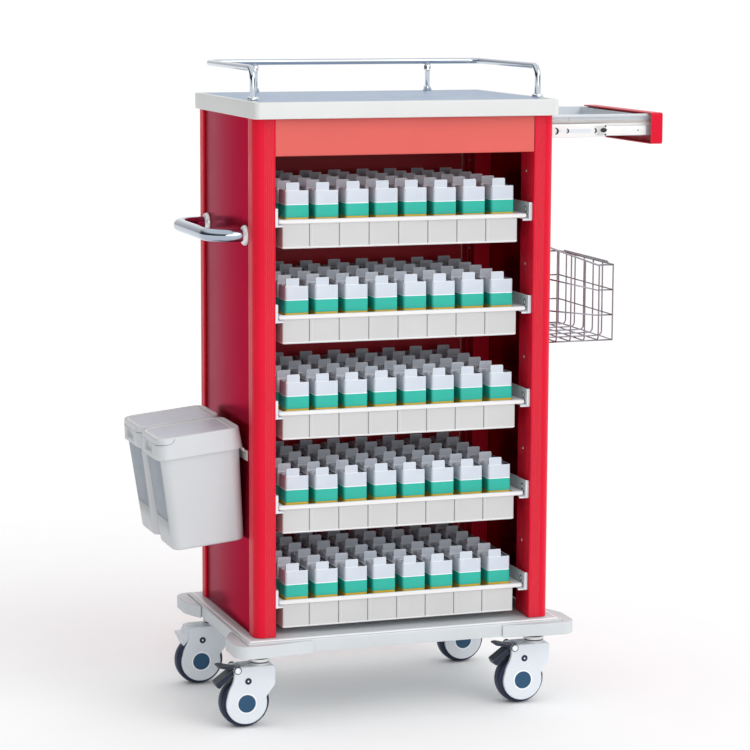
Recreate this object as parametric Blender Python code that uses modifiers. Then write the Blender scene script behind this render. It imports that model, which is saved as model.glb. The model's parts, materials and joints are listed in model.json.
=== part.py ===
"""Medication cart: a red cabinet with five open trays of medicine boxes, a pull-out side shelf,
a wire basket, two lidded bins, a push handle and four swivel casters.

The cart's own axes: X to the right, the open front towards -Y, Z up, floor at Z = 0, with X = 0
and Y = 0 in the middle of the cabinet. Everything hangs from one empty, which puts the middle of
the whole plan outline, shelf and bins included, on the world origin.
"""

import math

import bmesh
import bpy
from mathutils import Matrix, Vector

GAP = 0.0003                      # between pieces that touch
OVERCUT = 0.01                    # how far a cutter runs past what it cuts

# Cabinet
BODY_HALF_X = 0.309               # outer faces of the corner columns
BODY_HALF_Y = 0.204
COLUMN_X = 0.043                  # column section
COLUMN_Y = 0.040
COLUMN_WALL = 0.0025
COLUMN_CORNER = 0.019
GROOVE_DEPTH = 0.0012
GROOVE_WIDTH = 0.0016
GROOVE_PITCH = 0.006
GROOVE_START = 0.004              # from the end of the round corner to the first groove
BASE_TOP = 0.181
WORKTOP_BOTTOM = 1.193
SHEET = 0.0015
PANEL_INSET = 0.003               # side panels lie this far inside the columns
POST_DEPTH = 0.036                # each column's rack post runs this far further in
POST_STEP = 0.002                 # and stands back this far from its inner face
POST_TOP = 1.118
FASCIA_BOTTOM = 1.121
FASCIA_LIP = 0.018
CEILING_INSET = 0.002             # the ceiling stands back this far from the fascia
RIB_Y = 0.1653                    # upright ribs on the ceiling carry the shelf slides

# Worktop
WORKTOP_X = 0.625
WORKTOP_Y = 0.446
WORKTOP_THICK = 0.032
WORKTOP_CORNER = 0.014
WORKTOP_EDGE = 0.003
RIM_WIDTH = 0.013
RECESS = 0.003
RECESS_CORNER = 0.010
MAT_NOTCH = 0.0116                # radius that the mat leaves free round each foot of the rail
WORKTOP_TOP = WORKTOP_BOTTOM + WORKTOP_THICK

# Guard rail
RAIL_RADIUS = 0.0063
RAIL_LEFT_X, RAIL_RIGHT_X = -0.289, 0.301
RAIL_FRONT_Y = -0.130
RAIL_REAR_Y = 0.202
RAIL_Z = 1.286
RAIL_BEND = 0.022
POST_X = 0.1875
POST_RADII = (0.0075, 0.0050, 0.0085)   # collar under the rail, shank, foot
COLLAR_TALL = 0.010
EDGE = 0.0015                     # small chamfer on turned pieces

# Base
PLATE_HALF_X = 0.331
PLATE_HALF_Y = 0.228
PLATE_THICK = 0.029
PLATE_CORNER = 0.006
PLATE_EDGE = 0.002
BUMPER_HALF_X = 0.356
BUMPER_HALF_Y = 0.243
BUMPER_TOP = 0.176
BUMPER_THICK = 0.025
BUMPER_ROUND = 0.030
BUMPER_X = (0.198, 0.285)         # where the pad starts along the front, and is full depth
BUMPER_Y = (0.110, 0.158)         # the same along the sides
BUMPER_TIP = 0.003                # its thickness where it starts
BUMPER_LEAD = 0.002               # over which it gets that thick
BUMPER_EDGE = 0.0025
PLATE_BOTTOM = BASE_TOP - PLATE_THICK

# Trays, from the top one down
TRAY_BOTTOMS = (0.942, 0.757, 0.569, 0.383, 0.194)
TRAY_HALF_X = 0.2425
TRAY_MIDDLE_X = -0.005            # the well lies this far off the middle of its rim
TRAY_FRONT_Y = -0.188
TRAY_ROWS, TRAY_COLUMNS = 6, 8
CELL = 2 * TRAY_HALF_X / TRAY_COLUMNS
TRAY_WALL = 0.0025
TRAY_RIM_Z = 0.048                # underside of the rim above the tray's bottom
TRAY_RIM_THICK = 0.009
RIM_HALF_X = 0.256
RIM_FRONT = 0.004
TRAY_REAR_Y = TRAY_FRONT_Y + TRAY_ROWS * CELL + 2 * TRAY_WALL

# Medicine boxes
BOX_SIDE = 0.0475
BOX_PITCH = CELL
BOX_MIDDLE_X = -0.002
BOX_TOP = 0.055                   # above the tray's rim
BOX_WALL = 0.0015
SAME_SIZE = 0.01                  # share by which a lid's area may differ from a box's
WEB_THICK = 0.002

# Tray carriers
CARRIER_X = 0.2590
LEDGE_X = (0.2482, 0.2465)        # inner edges of the left and the right ledge
FLANGE_X = 0.2655
CARRIER_BELOW, CARRIER_ABOVE = 0.005, 0.031
CARRIER_FRONT = 0.008             # behind the cabinet's front
TIE_CLEAR = 0.004                 # between the tray's rim and the tie behind it
TIE_DROP = 0.006                  # the tie's top, below the angles'
OVERLAP = 0.0005                  # what joined pieces share

# Pull-out shelf, drawn open
FASCIA_INNER_X = 0.5305
FASCIA_THICK = 0.0265
FASCIA_HALF_Y = 0.172
FASCIA_Z = (1.130, 1.1925)
FASCIA_EDGE = 0.0015
PAN_HALF_Y = 0.1513
PAN_Z = (1.1465, 1.1905)
PAN_START_X = 0.130
PAN_LIP = 0.004                   # rolled lip along the pan's sides
PAN_LIP_TALL = 0.006
DIVIDER_X = 0.5145                # upright wall across the pan, short of the fascia
SLIDE_Z = 1.158
SLIDE_SHEET = 0.0012
INNER_MEMBER = (0.0072, -0.010, 0.0085)   # reach out of the pan, bottom and top about SLIDE_Z
MIDDLE_MEMBER_X = (0.110, 0.442)
MIDDLE_MEMBER_Y = (0.1625, 0.1556)        # web and lips
MIDDLE_MEMBER_Z = (-0.013, 0.0135)
OUTER_MEMBER_X = (-0.130, 0.265)
OUTER_MEMBER_Y = (RIB_Y - GAP, 0.1562)
OUTER_MEMBER_Z = (-0.019, 0.019)
SHELF_OUTER_X = FASCIA_INNER_X + FASCIA_THICK

# Push handle
HANDLE_RADIUS = 0.0125
HANDLE_HALF_Y = 0.140
HANDLE_Z = 0.966
HANDLE_GRIP_X = -0.376
HANDLE_BEND = 0.048
FLANGE_RADIUS = 0.020
FLANGE_TALL = 0.011
FLANGE_SHOULDER = (0.006, 0.004)  # heights between which its rounded edge falls

# Bins: drawn upright, then tilted about their inner bottom corner
BIN_TILT = math.radians(6.0)
BIN_CORNER = Vector((-0.2920, 0.0, 0.367))
BIN_Y = 0.0755
BIN_LENGTH = 0.176
BIN_WIDTH = 0.147
BIN_HEIGHT = 0.227
COLLAR_HEIGHT = 0.042
COLLAR_FLARE = 0.003
COLLAR_STEP = 0.006
BIN_DRAFT = math.tan(math.radians(2.6))
BIN_WALL = 0.0025
MOUTH_WALL = 0.0035
BIN_ROUND = 0.026
BIN_TIGHTEN = 0.4                 # how much its corners tighten as its sides draw in
FOOT_ROUND = (0.004, 0.005)       # inset and height of the bottom edge's slope
MOUTH_DEPTH = 0.006
COLLAR_ROOT = 0.004               # the inner step lies this far below the outer one
FLOOR_SLOPE = 0.003
BRIDGE_ENDS = (0.001, 0.020)      # the hinge strip's gaps behind it and beside it
HINGE_U = 0.016
LID_THICK = 0.003
LID_GAP = 0.0006
LID_NOTCH = 0.010                 # what its two corners at the hinge are cut back by
LID_EDGE = 0.0006
BIN_OUTER_X = BIN_CORNER.x - (
    (BIN_LENGTH - COLLAR_FLARE) * math.cos(BIN_TILT) + BIN_HEIGHT * math.sin(BIN_TILT)
)

# Strip that the bins hang on
HANGER_X = -0.3153                # outer face of its hook
HANGER_TOP = 0.5503
HANGER_HOOK = 0.005
HANGER_TALL = 0.026
HANGER_HALF_Y = 0.148

# Wire basket
BASKET_X = (0.3135, 0.4665)
BASKET_HALF_Y = 0.142
BASKET_BOTTOM = 0.732
BASKET_RIM = 0.887
BASKET_BACK_TOP = 0.930
BASKET_FLAT = 0.034               # level stretch at the outer end of each end rim
WIRE = 0.0032
BASKET_CELLS = (5, 6, 3)          # along its length, its width and its height

# Casters
SWIVEL_X, SWIVEL_Y = 0.291, 0.171
TRAIL = 0.032
WHEEL_RADIUS = 0.050
WHEEL_HALF = 0.015
AXLE_RADIUS = 0.004
RUNNING_GAP = 0.0001              # radial, between the axle and the wheel's bore
FORK_HALF = 0.024
FORK_INSIDE = 0.017
FORK_TOP = 0.124
CHEEK_RADIUS = 0.0415
BOSS_RADIUS = 0.024
BOSS_BOTTOM = 0.139
BOSS_ROOT = 0.004                 # how far each boss runs up into the plate
BEARING_RADIUS = 0.021
BEARING_ROOT = 0.004              # how far the bearing cup runs down into the housing
AXLE_ROOT = 0.002                 # how far the axle runs into each cheek
PIVOT = (-0.018, 0.066)           # pedal pivot, from the wheel's axis along X and Z
PEDAL_HALF = 0.0155
PEDAL_EDGE = 0.0008
HUB_RADIUS = 0.0052
NOTCH_RADIUS = 0.0145             # room round the pedal's pivot
NOTCH_SHIFT = (-0.003, -0.001)
WHEEL_ROOM = 0.003                # between the tyre and the housing
PEDAL_ROOM = 0.008                # the same where the pedal's paddle swings in

ROUND_STEPS = 5
CENTRE_X = (SHELF_OUTER_X + BIN_OUTER_X) / 2

COLOURS = {
    "red_powder_coat": ((0.64, 0.018, 0.036), 0.32, 0.0),
    "white_abs": ((0.80, 0.81, 0.80), 0.35, 0.0),
    "blue_grey_mat": ((0.30, 0.36, 0.44), 0.18, 0.0),
    "grey_abs": ((0.64, 0.67, 0.69), 0.40, 0.0),
    "tray_plastic": ((0.72, 0.71, 0.68), 0.45, 0.0),
    "box_plastic": ((0.64, 0.66, 0.76), 0.30, 0.0),
    "zinc_white": ((0.75, 0.80, 0.82), 0.35, 0.2),
    "steel_sheet": ((0.55, 0.58, 0.62), 0.35, 0.9),
    "slide_steel": ((0.72, 0.72, 0.71), 0.28, 1.0),
    "chrome": ((0.78, 0.79, 0.81), 0.07, 1.0),
    "bin_plastic": ((0.62, 0.64, 0.66), 0.42, 0.0),
    "caster_plastic": ((0.70, 0.76, 0.82), 0.40, 0.0),
    "tyre": ((0.035, 0.045, 0.085), 0.60, 0.0),
    "pedal_plastic": ((0.03, 0.035, 0.045), 0.50, 0.0),
}


def clear_scene():
    for obj in list(bpy.data.objects):
        bpy.data.objects.remove(obj, do_unlink=True)


def new_collection(name, helper=False):
    collection = bpy.data.collections.new(name)
    bpy.context.scene.collection.children.link(collection)
    collection.hide_render = helper
    return collection


def material(name):
    found = bpy.data.materials.get(name)
    if found:
        return found
    colour, roughness, metallic = COLOURS[name]
    made = bpy.data.materials.new(name)
    made.use_nodes = True
    shader = made.node_tree.nodes["Principled BSDF"]
    shader.inputs["Base Color"].default_value = (*colour, 1.0)
    shader.inputs["Roughness"].default_value = roughness
    shader.inputs["Metallic"].default_value = metallic
    made.diffuse_color = (*colour, 1.0)
    return made


# ---------------------------------------------------------------- outlines


def arc(centre, radius, start, end, steps=ROUND_STEPS):
    """Points on a circle from start to end, in degrees."""
    angles = [math.radians(start + (end - start) * i / steps) for i in range(steps + 1)]
    return [
        (centre[0] + radius * math.cos(a), centre[1] + radius * math.sin(a)) for a in angles
    ]


def rounded_rectangle(half_x, half_y, radius, steps=ROUND_STEPS):
    points = []
    for turn, (sx, sy) in enumerate(((1, 1), (-1, 1), (-1, -1), (1, -1))):
        centre = (sx * (half_x - radius), sy * (half_y - radius))
        points += arc(centre, radius, 90 * turn, 90 * turn + 90, steps)
    return points


def mirrored(points, flip_x=False, flip_y=False):
    """The outline turned over one or both axes, still anticlockwise if it was."""
    turned = [(-x if flip_x else x, -y if flip_y else y) for x, y in points]
    return turned[::-1] if flip_x != flip_y else turned


# ---------------------------------------------------------------- objects


def link(obj, name, finish, parent, smooth=False):
    """Names the object, gives it its material and puts it under its parent."""
    obj.name = name
    obj.data.name = name
    obj.data.materials.clear()
    obj.data.materials.append(material(finish))
    obj.parent = parent
    PARTS.objects.link(obj)
    if smooth and obj.type == "MESH":
        obj.data.shade_smooth()
        obj.data.set_sharp_from_angle(angle=math.radians(35))
    return obj


def hide(obj, parent):
    """Keeps the object as a Boolean tool, out of the model."""
    obj.name = "tool_" + obj.name
    obj.parent = parent
    obj.hide_render = True
    obj.display_type = "WIRE"
    TOOLS.objects.link(obj)
    return obj


def boolean(obj, tool, operation):
    step = obj.modifiers.new(operation.lower(), "BOOLEAN")
    step.operation = operation
    step.solver = "EXACT"
    step.object = tool
    return obj


def bevel(obj, width, segments=1, angle=40):
    step = obj.modifiers.new("edges", "BEVEL")
    step.width = width
    step.segments = segments
    step.limit_method = "ANGLE"
    step.angle_limit = math.radians(angle)
    step.use_clamp_overlap = True
    return obj


def extrusion(name, outline, low, high, axis="Z"):
    """The outline drawn along an axis from low to high.

    Along Z its points are (x, y), along X they are (y, z) and along Y they are (x, z).
    """
    place = {
        "Z": lambda p: (p[0], p[1], low),
        "X": lambda p: (low, p[0], p[1]),
        "Y": lambda p: (p[0], low, p[1]),
    }[axis]
    along = Vector([(high - low) * (axis == letter) for letter in "XYZ"])
    mesh = bpy.data.meshes.new(name)
    bm = bmesh.new()
    face = bm.faces.new([bm.verts.new(place(p)) for p in outline])
    drawn = bmesh.ops.extrude_face_region(bm, geom=[face], use_keep_orig=True)["geom"]
    far = [v for v in drawn if isinstance(v, bmesh.types.BMVert)]
    bmesh.ops.translate(bm, verts=far, vec=along)
    bmesh.ops.recalc_face_normals(bm, faces=bm.faces)
    bm.to_mesh(mesh)
    bm.free()
    return bpy.data.objects.new(name, mesh)


def tube(name, points, radius, resolution=4):
    """A round bar or tube along straight runs and bends given as points."""
    curve = bpy.data.curves.new(name, "CURVE")
    curve.dimensions = "3D"
    curve.bevel_depth = radius
    curve.bevel_resolution = resolution
    curve.use_fill_caps = True
    spline = curve.splines.new("POLY")
    spline.points.add(len(points) - 1)
    for point, place in zip(spline.points, points):
        point.co = (*place, 1.0)
    return bpy.data.objects.new(name, curve)


def bent(points, radius, steps=5):
    """The polyline with each inner corner replaced by an arc of the radius."""
    points = [Vector(p) for p in points]
    path = [points[0]]
    for before, corner, after in zip(points, points[1:], points[2:]):
        back = (before - corner).normalized()
        ahead = (after - corner).normalized()
        half = back.angle(ahead) / 2
        reach = radius / math.tan(half)
        centre = corner + (back + ahead).normalized() * radius / math.sin(half)
        start = corner + back * reach - centre
        axis = start.cross(corner + ahead * reach - centre).normalized()
        sweep = math.pi - 2 * half
        path += [
            centre + Matrix.Rotation(sweep * i / steps, 3, axis) @ start
            for i in range(steps + 1)
        ]
    return [tuple(p) for p in path + [points[-1]]]


def turned(name, profile, steps=28):
    """A turned piece around Z: the profile's (radius, height) points run down its outer side."""
    mesh = bpy.data.meshes.new(name)
    bm = bmesh.new()
    places = [bm.verts.new((r, 0.0, z)) for r, z in profile]
    ends = places[1:] + [places[0]] if profile[0][0] > 0 else places[1:]
    for first, second in zip(places, ends):
        bm.edges.new((first, second))
    bm.to_mesh(mesh)
    bm.free()
    obj = bpy.data.objects.new(name, mesh)
    screw = obj.modifiers.new("turn", "SCREW")
    screw.steps = steps
    screw.render_steps = steps
    screw.use_merge_vertices = True
    screw.merge_threshold = 0.00001
    return obj


def cylinder(name, centre, radius, length, axis="Z", segments=24):
    mesh = bpy.data.meshes.new(name)
    bm = bmesh.new()
    bmesh.ops.create_cone(
        bm, cap_ends=True, segments=segments, radius1=radius, radius2=radius, depth=length
    )
    if axis == "Y":
        bmesh.ops.rotate(bm, verts=bm.verts, matrix=Matrix.Rotation(math.pi / 2, 3, "X"))
    bmesh.ops.translate(bm, verts=bm.verts, vec=centre)
    bm.to_mesh(mesh)
    bm.free()
    return bpy.data.objects.new(name, mesh)


def block(name, low, high):
    mesh = bpy.data.meshes.new(name)
    bm = bmesh.new()
    bmesh.ops.create_cube(bm, size=1.0)
    size = [b - a for a, b in zip(low, high)]
    bmesh.ops.scale(bm, verts=bm.verts, vec=size)
    bmesh.ops.translate(bm, verts=bm.verts, vec=[(a + b) / 2 for a, b in zip(low, high)])
    bm.to_mesh(mesh)
    bm.free()
    return bpy.data.objects.new(name, mesh)


def empty(name, place, parent=None):
    obj = bpy.data.objects.new(name, None)
    obj.empty_display_size = 0.03
    obj.location = place
    obj.parent = parent
    PARTS.objects.link(obj)
    return obj


# ---------------------------------------------------------------- cabinet


def post_span():
    """Left and right faces of the front left column's rack post, inside the side panel."""
    return -BODY_HALF_X + PANEL_INSET + SHEET + GAP, -BODY_HALF_X + COLUMN_X - POST_STEP


def column_outline():
    """Section of the front left column, with a rounded outer corner, fine grooves and its post."""
    left, front = -BODY_HALF_X, -BODY_HALF_Y
    points = arc(
        (left + COLUMN_CORNER, front + COLUMN_CORNER), COLUMN_CORNER, 180, 270, 6
    )
    for step in range(3):
        start = left + COLUMN_CORNER + GROOVE_START + GROOVE_PITCH * step
        points += [
            (start, front),
            (start, front + GROOVE_DEPTH),
            (start + GROOVE_WIDTH, front + GROOVE_DEPTH),
            (start + GROOVE_WIDTH, front),
        ]
    right, back = left + COLUMN_X, front + COLUMN_Y
    post_left, post_right = post_span()
    points += [
        (right, front), (right, back), (post_right, back), (post_right, back + POST_DEPTH),
        (post_left, back + POST_DEPTH), (post_left, back), (left, back),
    ]
    for step in range(2):
        start = back - GROOVE_PITCH * (step + 1)
        points += [
            (left, start),
            (left + GROOVE_DEPTH, start),
            (left + GROOVE_DEPTH, start - GROOVE_WIDTH),
            (left, start - GROOVE_WIDTH),
        ]
    return points


def column_hollow():
    left, front = -BODY_HALF_X + 2 * COLUMN_WALL, -BODY_HALF_Y + 2 * COLUMN_WALL
    right = -BODY_HALF_X + COLUMN_X - COLUMN_WALL
    back = -BODY_HALF_Y + COLUMN_Y - COLUMN_WALL
    radius = COLUMN_CORNER - 2 * COLUMN_WALL
    return arc((left + radius, front + radius), radius, 180, 270, 4) + [
        (right, front),
        (right, back),
        (left, back),
    ]


def post_hollow():
    left, right = post_span()
    front = -BODY_HALF_Y + COLUMN_Y
    back = front + POST_DEPTH
    return [
        (left + SHEET, front + SHEET), (right - SHEET, front + SHEET),
        (right - SHEET, back - SHEET), (left + SHEET, back - SHEET),
    ]


def post_headroom():
    """What the post leaves free above itself, where the shelf passes."""
    left, right = post_span()
    front = -BODY_HALF_Y + COLUMN_Y + GAP
    back = front + POST_DEPTH + OVERCUT
    return [(left - GAP, front), (right + GAP, front), (right + GAP, back), (left - GAP, back)]


def columns():
    for name, flip_x, flip_y in (
        ("column_front_left", False, False),
        ("column_front_right", True, False),
        ("column_rear_left", False, True),
        ("column_rear_right", True, True),
    ):
        outline = mirrored(column_outline(), flip_x, flip_y)
        piece = extrusion(name, outline, BASE_TOP + GAP, WORKTOP_BOTTOM - GAP)
        for part, section, low in (
            ("bore", column_hollow(), BASE_TOP - OVERCUT),
            ("post_bore", post_hollow(), BASE_TOP - OVERCUT),
            ("headroom", post_headroom(), POST_TOP),
        ):
            section = mirrored(section, flip_x, flip_y)
            tool = extrusion(f"{part}_{name}", section, low, WORKTOP_BOTTOM + OVERCUT)
            boolean(piece, hide(tool, CART), "DIFFERENCE")
        link(piece, name, "red_powder_coat", CART)


def panels():
    half_y = BODY_HALF_Y - COLUMN_Y - GAP
    half_x = BODY_HALF_X - COLUMN_X - GAP
    low, high = BASE_TOP + GAP, WORKTOP_BOTTOM - GAP
    outer = BODY_HALF_X - PANEL_INSET
    link(
        block("side", (-outer, -half_y, low), (-outer + SHEET, half_y, high)),
        "left_side_panel", "red_powder_coat", CART,
    )
    shelf_mouth = SLIDE_Z + OUTER_MEMBER_Z[0]
    link(
        block("side", (outer - SHEET, -half_y, low), (outer, half_y, shelf_mouth)),
        "right_side_panel", "red_powder_coat", CART,
    )
    back = BODY_HALF_Y - PANEL_INSET
    link(
        block("back", (-half_x, back - SHEET, low), (half_x, back, high)),
        "back_panel", "red_powder_coat", CART,
    )
    front = -BODY_HALF_Y + SHEET
    inside = front + FASCIA_LIP
    section = [
        (front, FASCIA_BOTTOM),
        (inside, FASCIA_BOTTOM),
        (inside, FASCIA_BOTTOM + SHEET),
        (front + SHEET, FASCIA_BOTTOM + SHEET),
        (front + SHEET, high - SHEET),
        (inside, high - SHEET),
        (inside, high),
        (front, high),
    ]
    link(
        extrusion("fascia", section, -half_x, half_x, "X"),
        "front_fascia", "red_powder_coat", CART,
    )


def ceiling():
    """A sheet over the top tray, with two upright ribs that carry the shelf slides."""
    half_x, half_y = BODY_HALF_X - COLUMN_X - GAP, BODY_HALF_Y - FASCIA_LIP - CEILING_INSET
    low, high = FASCIA_BOTTOM, FASCIA_BOTTOM + SHEET
    rib_top = SLIDE_Z + OUTER_MEMBER_Z[1]
    half = [
        (half_y, low), (half_y, high), (RIB_Y + SHEET, high), (RIB_Y + SHEET, rib_top),
        (RIB_Y, rib_top), (RIB_Y, high),
    ]
    section = half + mirrored(half, flip_x=True)
    link(
        extrusion("ceiling", section, -half_x, half_x, "X"),
        "cabinet_ceiling", "red_powder_coat", CART,
    )


def worktop():
    slab = extrusion(
        "slab",
        rounded_rectangle(WORKTOP_X / 2, WORKTOP_Y / 2, WORKTOP_CORNER),
        WORKTOP_BOTTOM,
        WORKTOP_TOP,
    )
    bevel(slab, WORKTOP_EDGE, 2)
    inner_x, inner_y = WORKTOP_X / 2 - RIM_WIDTH, WORKTOP_Y / 2 - RIM_WIDTH
    recess = extrusion(
        "worktop_recess",
        rounded_rectangle(inner_x, inner_y, RECESS_CORNER, 3),
        WORKTOP_TOP - RECESS,
        WORKTOP_TOP + OVERCUT,
    )
    boolean(slab, hide(recess, CART), "DIFFERENCE")
    link(slab, "worktop", "white_abs", CART)
    mat = extrusion(
        "mat",
        rounded_rectangle(inner_x - GAP, inner_y - GAP, RECESS_CORNER, 3),
        WORKTOP_TOP - RECESS + GAP,
        WORKTOP_TOP - GAP,
    )
    for place in (
        (RAIL_LEFT_X, RAIL_FRONT_Y), (RAIL_RIGHT_X, RAIL_FRONT_Y),
        (-POST_X, RAIL_REAR_Y), (POST_X, RAIL_REAR_Y),
    ):
        notch = cylinder("mat_notch", (*place, WORKTOP_TOP), MAT_NOTCH, 4 * RECESS)
        boolean(mat, hide(notch, CART), "DIFFERENCE")
    link(mat, "worktop_mat", "blue_grey_mat", CART)


def guard_rail():
    """A U of tube open to the front, whose ends stand on the worktop, and two rear posts."""
    foot = WORKTOP_TOP + GAP
    corners = [
        (RAIL_LEFT_X, RAIL_FRONT_Y, foot),
        (RAIL_LEFT_X, RAIL_FRONT_Y, RAIL_Z),
        (RAIL_LEFT_X, RAIL_REAR_Y, RAIL_Z),
        (RAIL_RIGHT_X, RAIL_REAR_Y, RAIL_Z),
        (RAIL_RIGHT_X, RAIL_FRONT_Y, RAIL_Z),
        (RAIL_RIGHT_X, RAIL_FRONT_Y, foot),
    ]
    rail = tube("rail", bent(corners, RAIL_BEND, 4), RAIL_RADIUS)
    link(rail, "guard_rail", "chrome", CART, smooth=True)
    height = RAIL_Z - RAIL_RADIUS - GAP - foot
    collar, shank, base_radius = POST_RADII
    profile = [
        (0.0, height), (collar - EDGE, height), (collar, height - EDGE),
        (collar, height - COLLAR_TALL), (shank, height - COLLAR_TALL - EDGE),
        (shank, COLLAR_TALL), (base_radius, COLLAR_TALL - EDGE), (base_radius, 0.0), (0.0, 0.0),
    ]
    for side, x in (("left", -POST_X), ("right", POST_X)):
        post = turned("post", profile, 16)
        post.location = (x, RAIL_REAR_Y, foot)
        link(post, f"guard_rail_post_{side}", "chrome", CART, smooth=True)


def base():
    outline = rounded_rectangle(PLATE_HALF_X, PLATE_HALF_Y, PLATE_CORNER, 2)
    plate = extrusion("plate", outline, PLATE_BOTTOM, BASE_TOP)
    bevel(plate, PLATE_EDGE)
    for x in (-SWIVEL_X, SWIVEL_X):
        for y in (-SWIVEL_Y, SWIVEL_Y):
            length = PLATE_BOTTOM + BOSS_ROOT - BOSS_BOTTOM
            boss = cylinder(
                "boss", (x, y, BOSS_BOTTOM + length / 2), BOSS_RADIUS, length, segments=20
            )
            boolean(plate, hide(boss, CART), "UNION")
    link(plate, "base_plate", "grey_abs", CART)


def bumpers():
    """L-shaped pads round the plate's corners, thinning to nothing along its sides."""
    inner_x, inner_y = PLATE_HALF_X + GAP, PLATE_HALF_Y + GAP
    centre = (BUMPER_HALF_X - BUMPER_ROUND, BUMPER_HALF_Y - BUMPER_ROUND)
    outline = [
        (BUMPER_X[0] + BUMPER_LEAD, inner_y), (inner_x, inner_y),
        (inner_x, BUMPER_Y[0] + BUMPER_LEAD),
        (inner_x + BUMPER_TIP, BUMPER_Y[0]), (BUMPER_HALF_X, BUMPER_Y[1]),
    ]
    outline += arc(centre, BUMPER_ROUND, 0, 90, 6)
    outline += [(BUMPER_X[1], BUMPER_HALF_Y), (BUMPER_X[0], inner_y + BUMPER_TIP)]
    for name, flip_x, flip_y in (
        ("corner_bumper_front_left", True, True),
        ("corner_bumper_front_right", False, True),
        ("corner_bumper_rear_left", True, False),
        ("corner_bumper_rear_right", False, False),
    ):
        pad = extrusion(
            name, mirrored(outline, flip_x, flip_y), BUMPER_TOP - BUMPER_THICK, BUMPER_TOP
        )
        bevel(pad, BUMPER_EDGE)
        link(pad, name, "grey_abs", CART)


# ---------------------------------------------------------------- trays


def tray(number, bottom):
    """One tray with its rim, the boxes in it and the frame that carries it."""
    slide = empty(f"tray_slide_{number}", (0, 0, bottom), CART)
    top = TRAY_RIM_Z + TRAY_RIM_THICK
    left, right = TRAY_MIDDLE_X - TRAY_HALF_X, TRAY_MIDDLE_X + TRAY_HALF_X
    shell = block("shell", (left, TRAY_FRONT_Y, 0), (right, TRAY_REAR_Y, top - OVERLAP))
    rim = block(
        f"tray_rim_{number}",
        (-RIM_HALF_X, TRAY_FRONT_Y - RIM_FRONT, TRAY_RIM_Z),
        (RIM_HALF_X, TRAY_REAR_Y + RIM_FRONT, top),
    )
    inside = block(
        f"tray_inside_{number}",
        (left + TRAY_WALL, TRAY_FRONT_Y + TRAY_WALL, TRAY_WALL),
        (right - TRAY_WALL, TRAY_REAR_Y - TRAY_WALL, top + OVERCUT),
    )
    boolean(shell, hide(rim, slide), "UNION")
    boolean(shell, hide(inside, slide), "DIFFERENCE")
    link(shell, f"drawer_tray_{number}", "tray_plastic", slide)
    link(medicine_boxes(top), f"medicine_boxes_{number}", "box_plastic", slide)
    place = empty(f"carrier_place_{number}", (0, 0, bottom), CART)
    link(carrier(place), f"tray_carrier_{number}", "zinc_white", place)


def raise_faces(bm, faces, height):
    """Draws each of the faces up on its own by the height."""
    tops = bmesh.ops.extrude_discrete_faces(bm, faces=faces)["faces"]
    corners = {v for face in tops for v in face.verts}
    bmesh.ops.translate(bm, verts=list(corners), vec=(0, 0, height))


def medicine_boxes(rim_top):
    """The grid of boxes, hollow from below, on one thin web that lies on the tray's floor."""
    middle_y = (TRAY_FRONT_Y + TRAY_REAR_Y) / 2
    edges = {"x": [], "y": []}
    for axis, count, middle in (("x", TRAY_COLUMNS, BOX_MIDDLE_X), ("y", TRAY_ROWS, middle_y)):
        for index in range(count):
            centre = middle + (index - (count - 1) / 2) * BOX_PITCH
            edges[axis] += [centre - BOX_SIDE / 2, centre + BOX_SIDE / 2]
    floor = TRAY_WALL + GAP
    height = rim_top + BOX_TOP - floor - WEB_THICK
    mesh = bpy.data.meshes.new("boxes")
    bm = bmesh.new()
    grid = [[bm.verts.new((x, y, floor)) for x in edges["x"]] for y in edges["y"]]
    cells = []
    for j, (row, beyond) in enumerate(zip(grid, grid[1:])):
        for i in range(len(row) - 1):
            face = bm.faces.new((row[i], row[i + 1], beyond[i + 1], beyond[i]))
            if i % 2 == 0 and j % 2 == 0:
                cells.append(face)
    web = bmesh.ops.extrude_face_region(bm, geom=bm.faces[:], use_keep_orig=True)["geom"]
    corners = [v for v in web if isinstance(v, bmesh.types.BMVert)]
    bmesh.ops.translate(bm, verts=corners, vec=(0, 0, WEB_THICK))
    lids = [
        face for face in web
        if isinstance(face, bmesh.types.BMFace)
        and abs(face.calc_area() - BOX_SIDE**2) < SAME_SIZE * BOX_SIDE**2
    ]
    raise_faces(bm, lids, height)
    bmesh.ops.inset_individual(bm, faces=cells, thickness=BOX_WALL)
    raise_faces(bm, cells, height + WEB_THICK - BOX_WALL)
    bmesh.ops.dissolve_limit(bm, angle_limit=0.001, verts=bm.verts, edges=bm.edges)
    bmesh.ops.recalc_face_normals(bm, faces=bm.faces)
    bm.to_mesh(mesh)
    bm.free()
    return bpy.data.objects.new("boxes", mesh)


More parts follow.
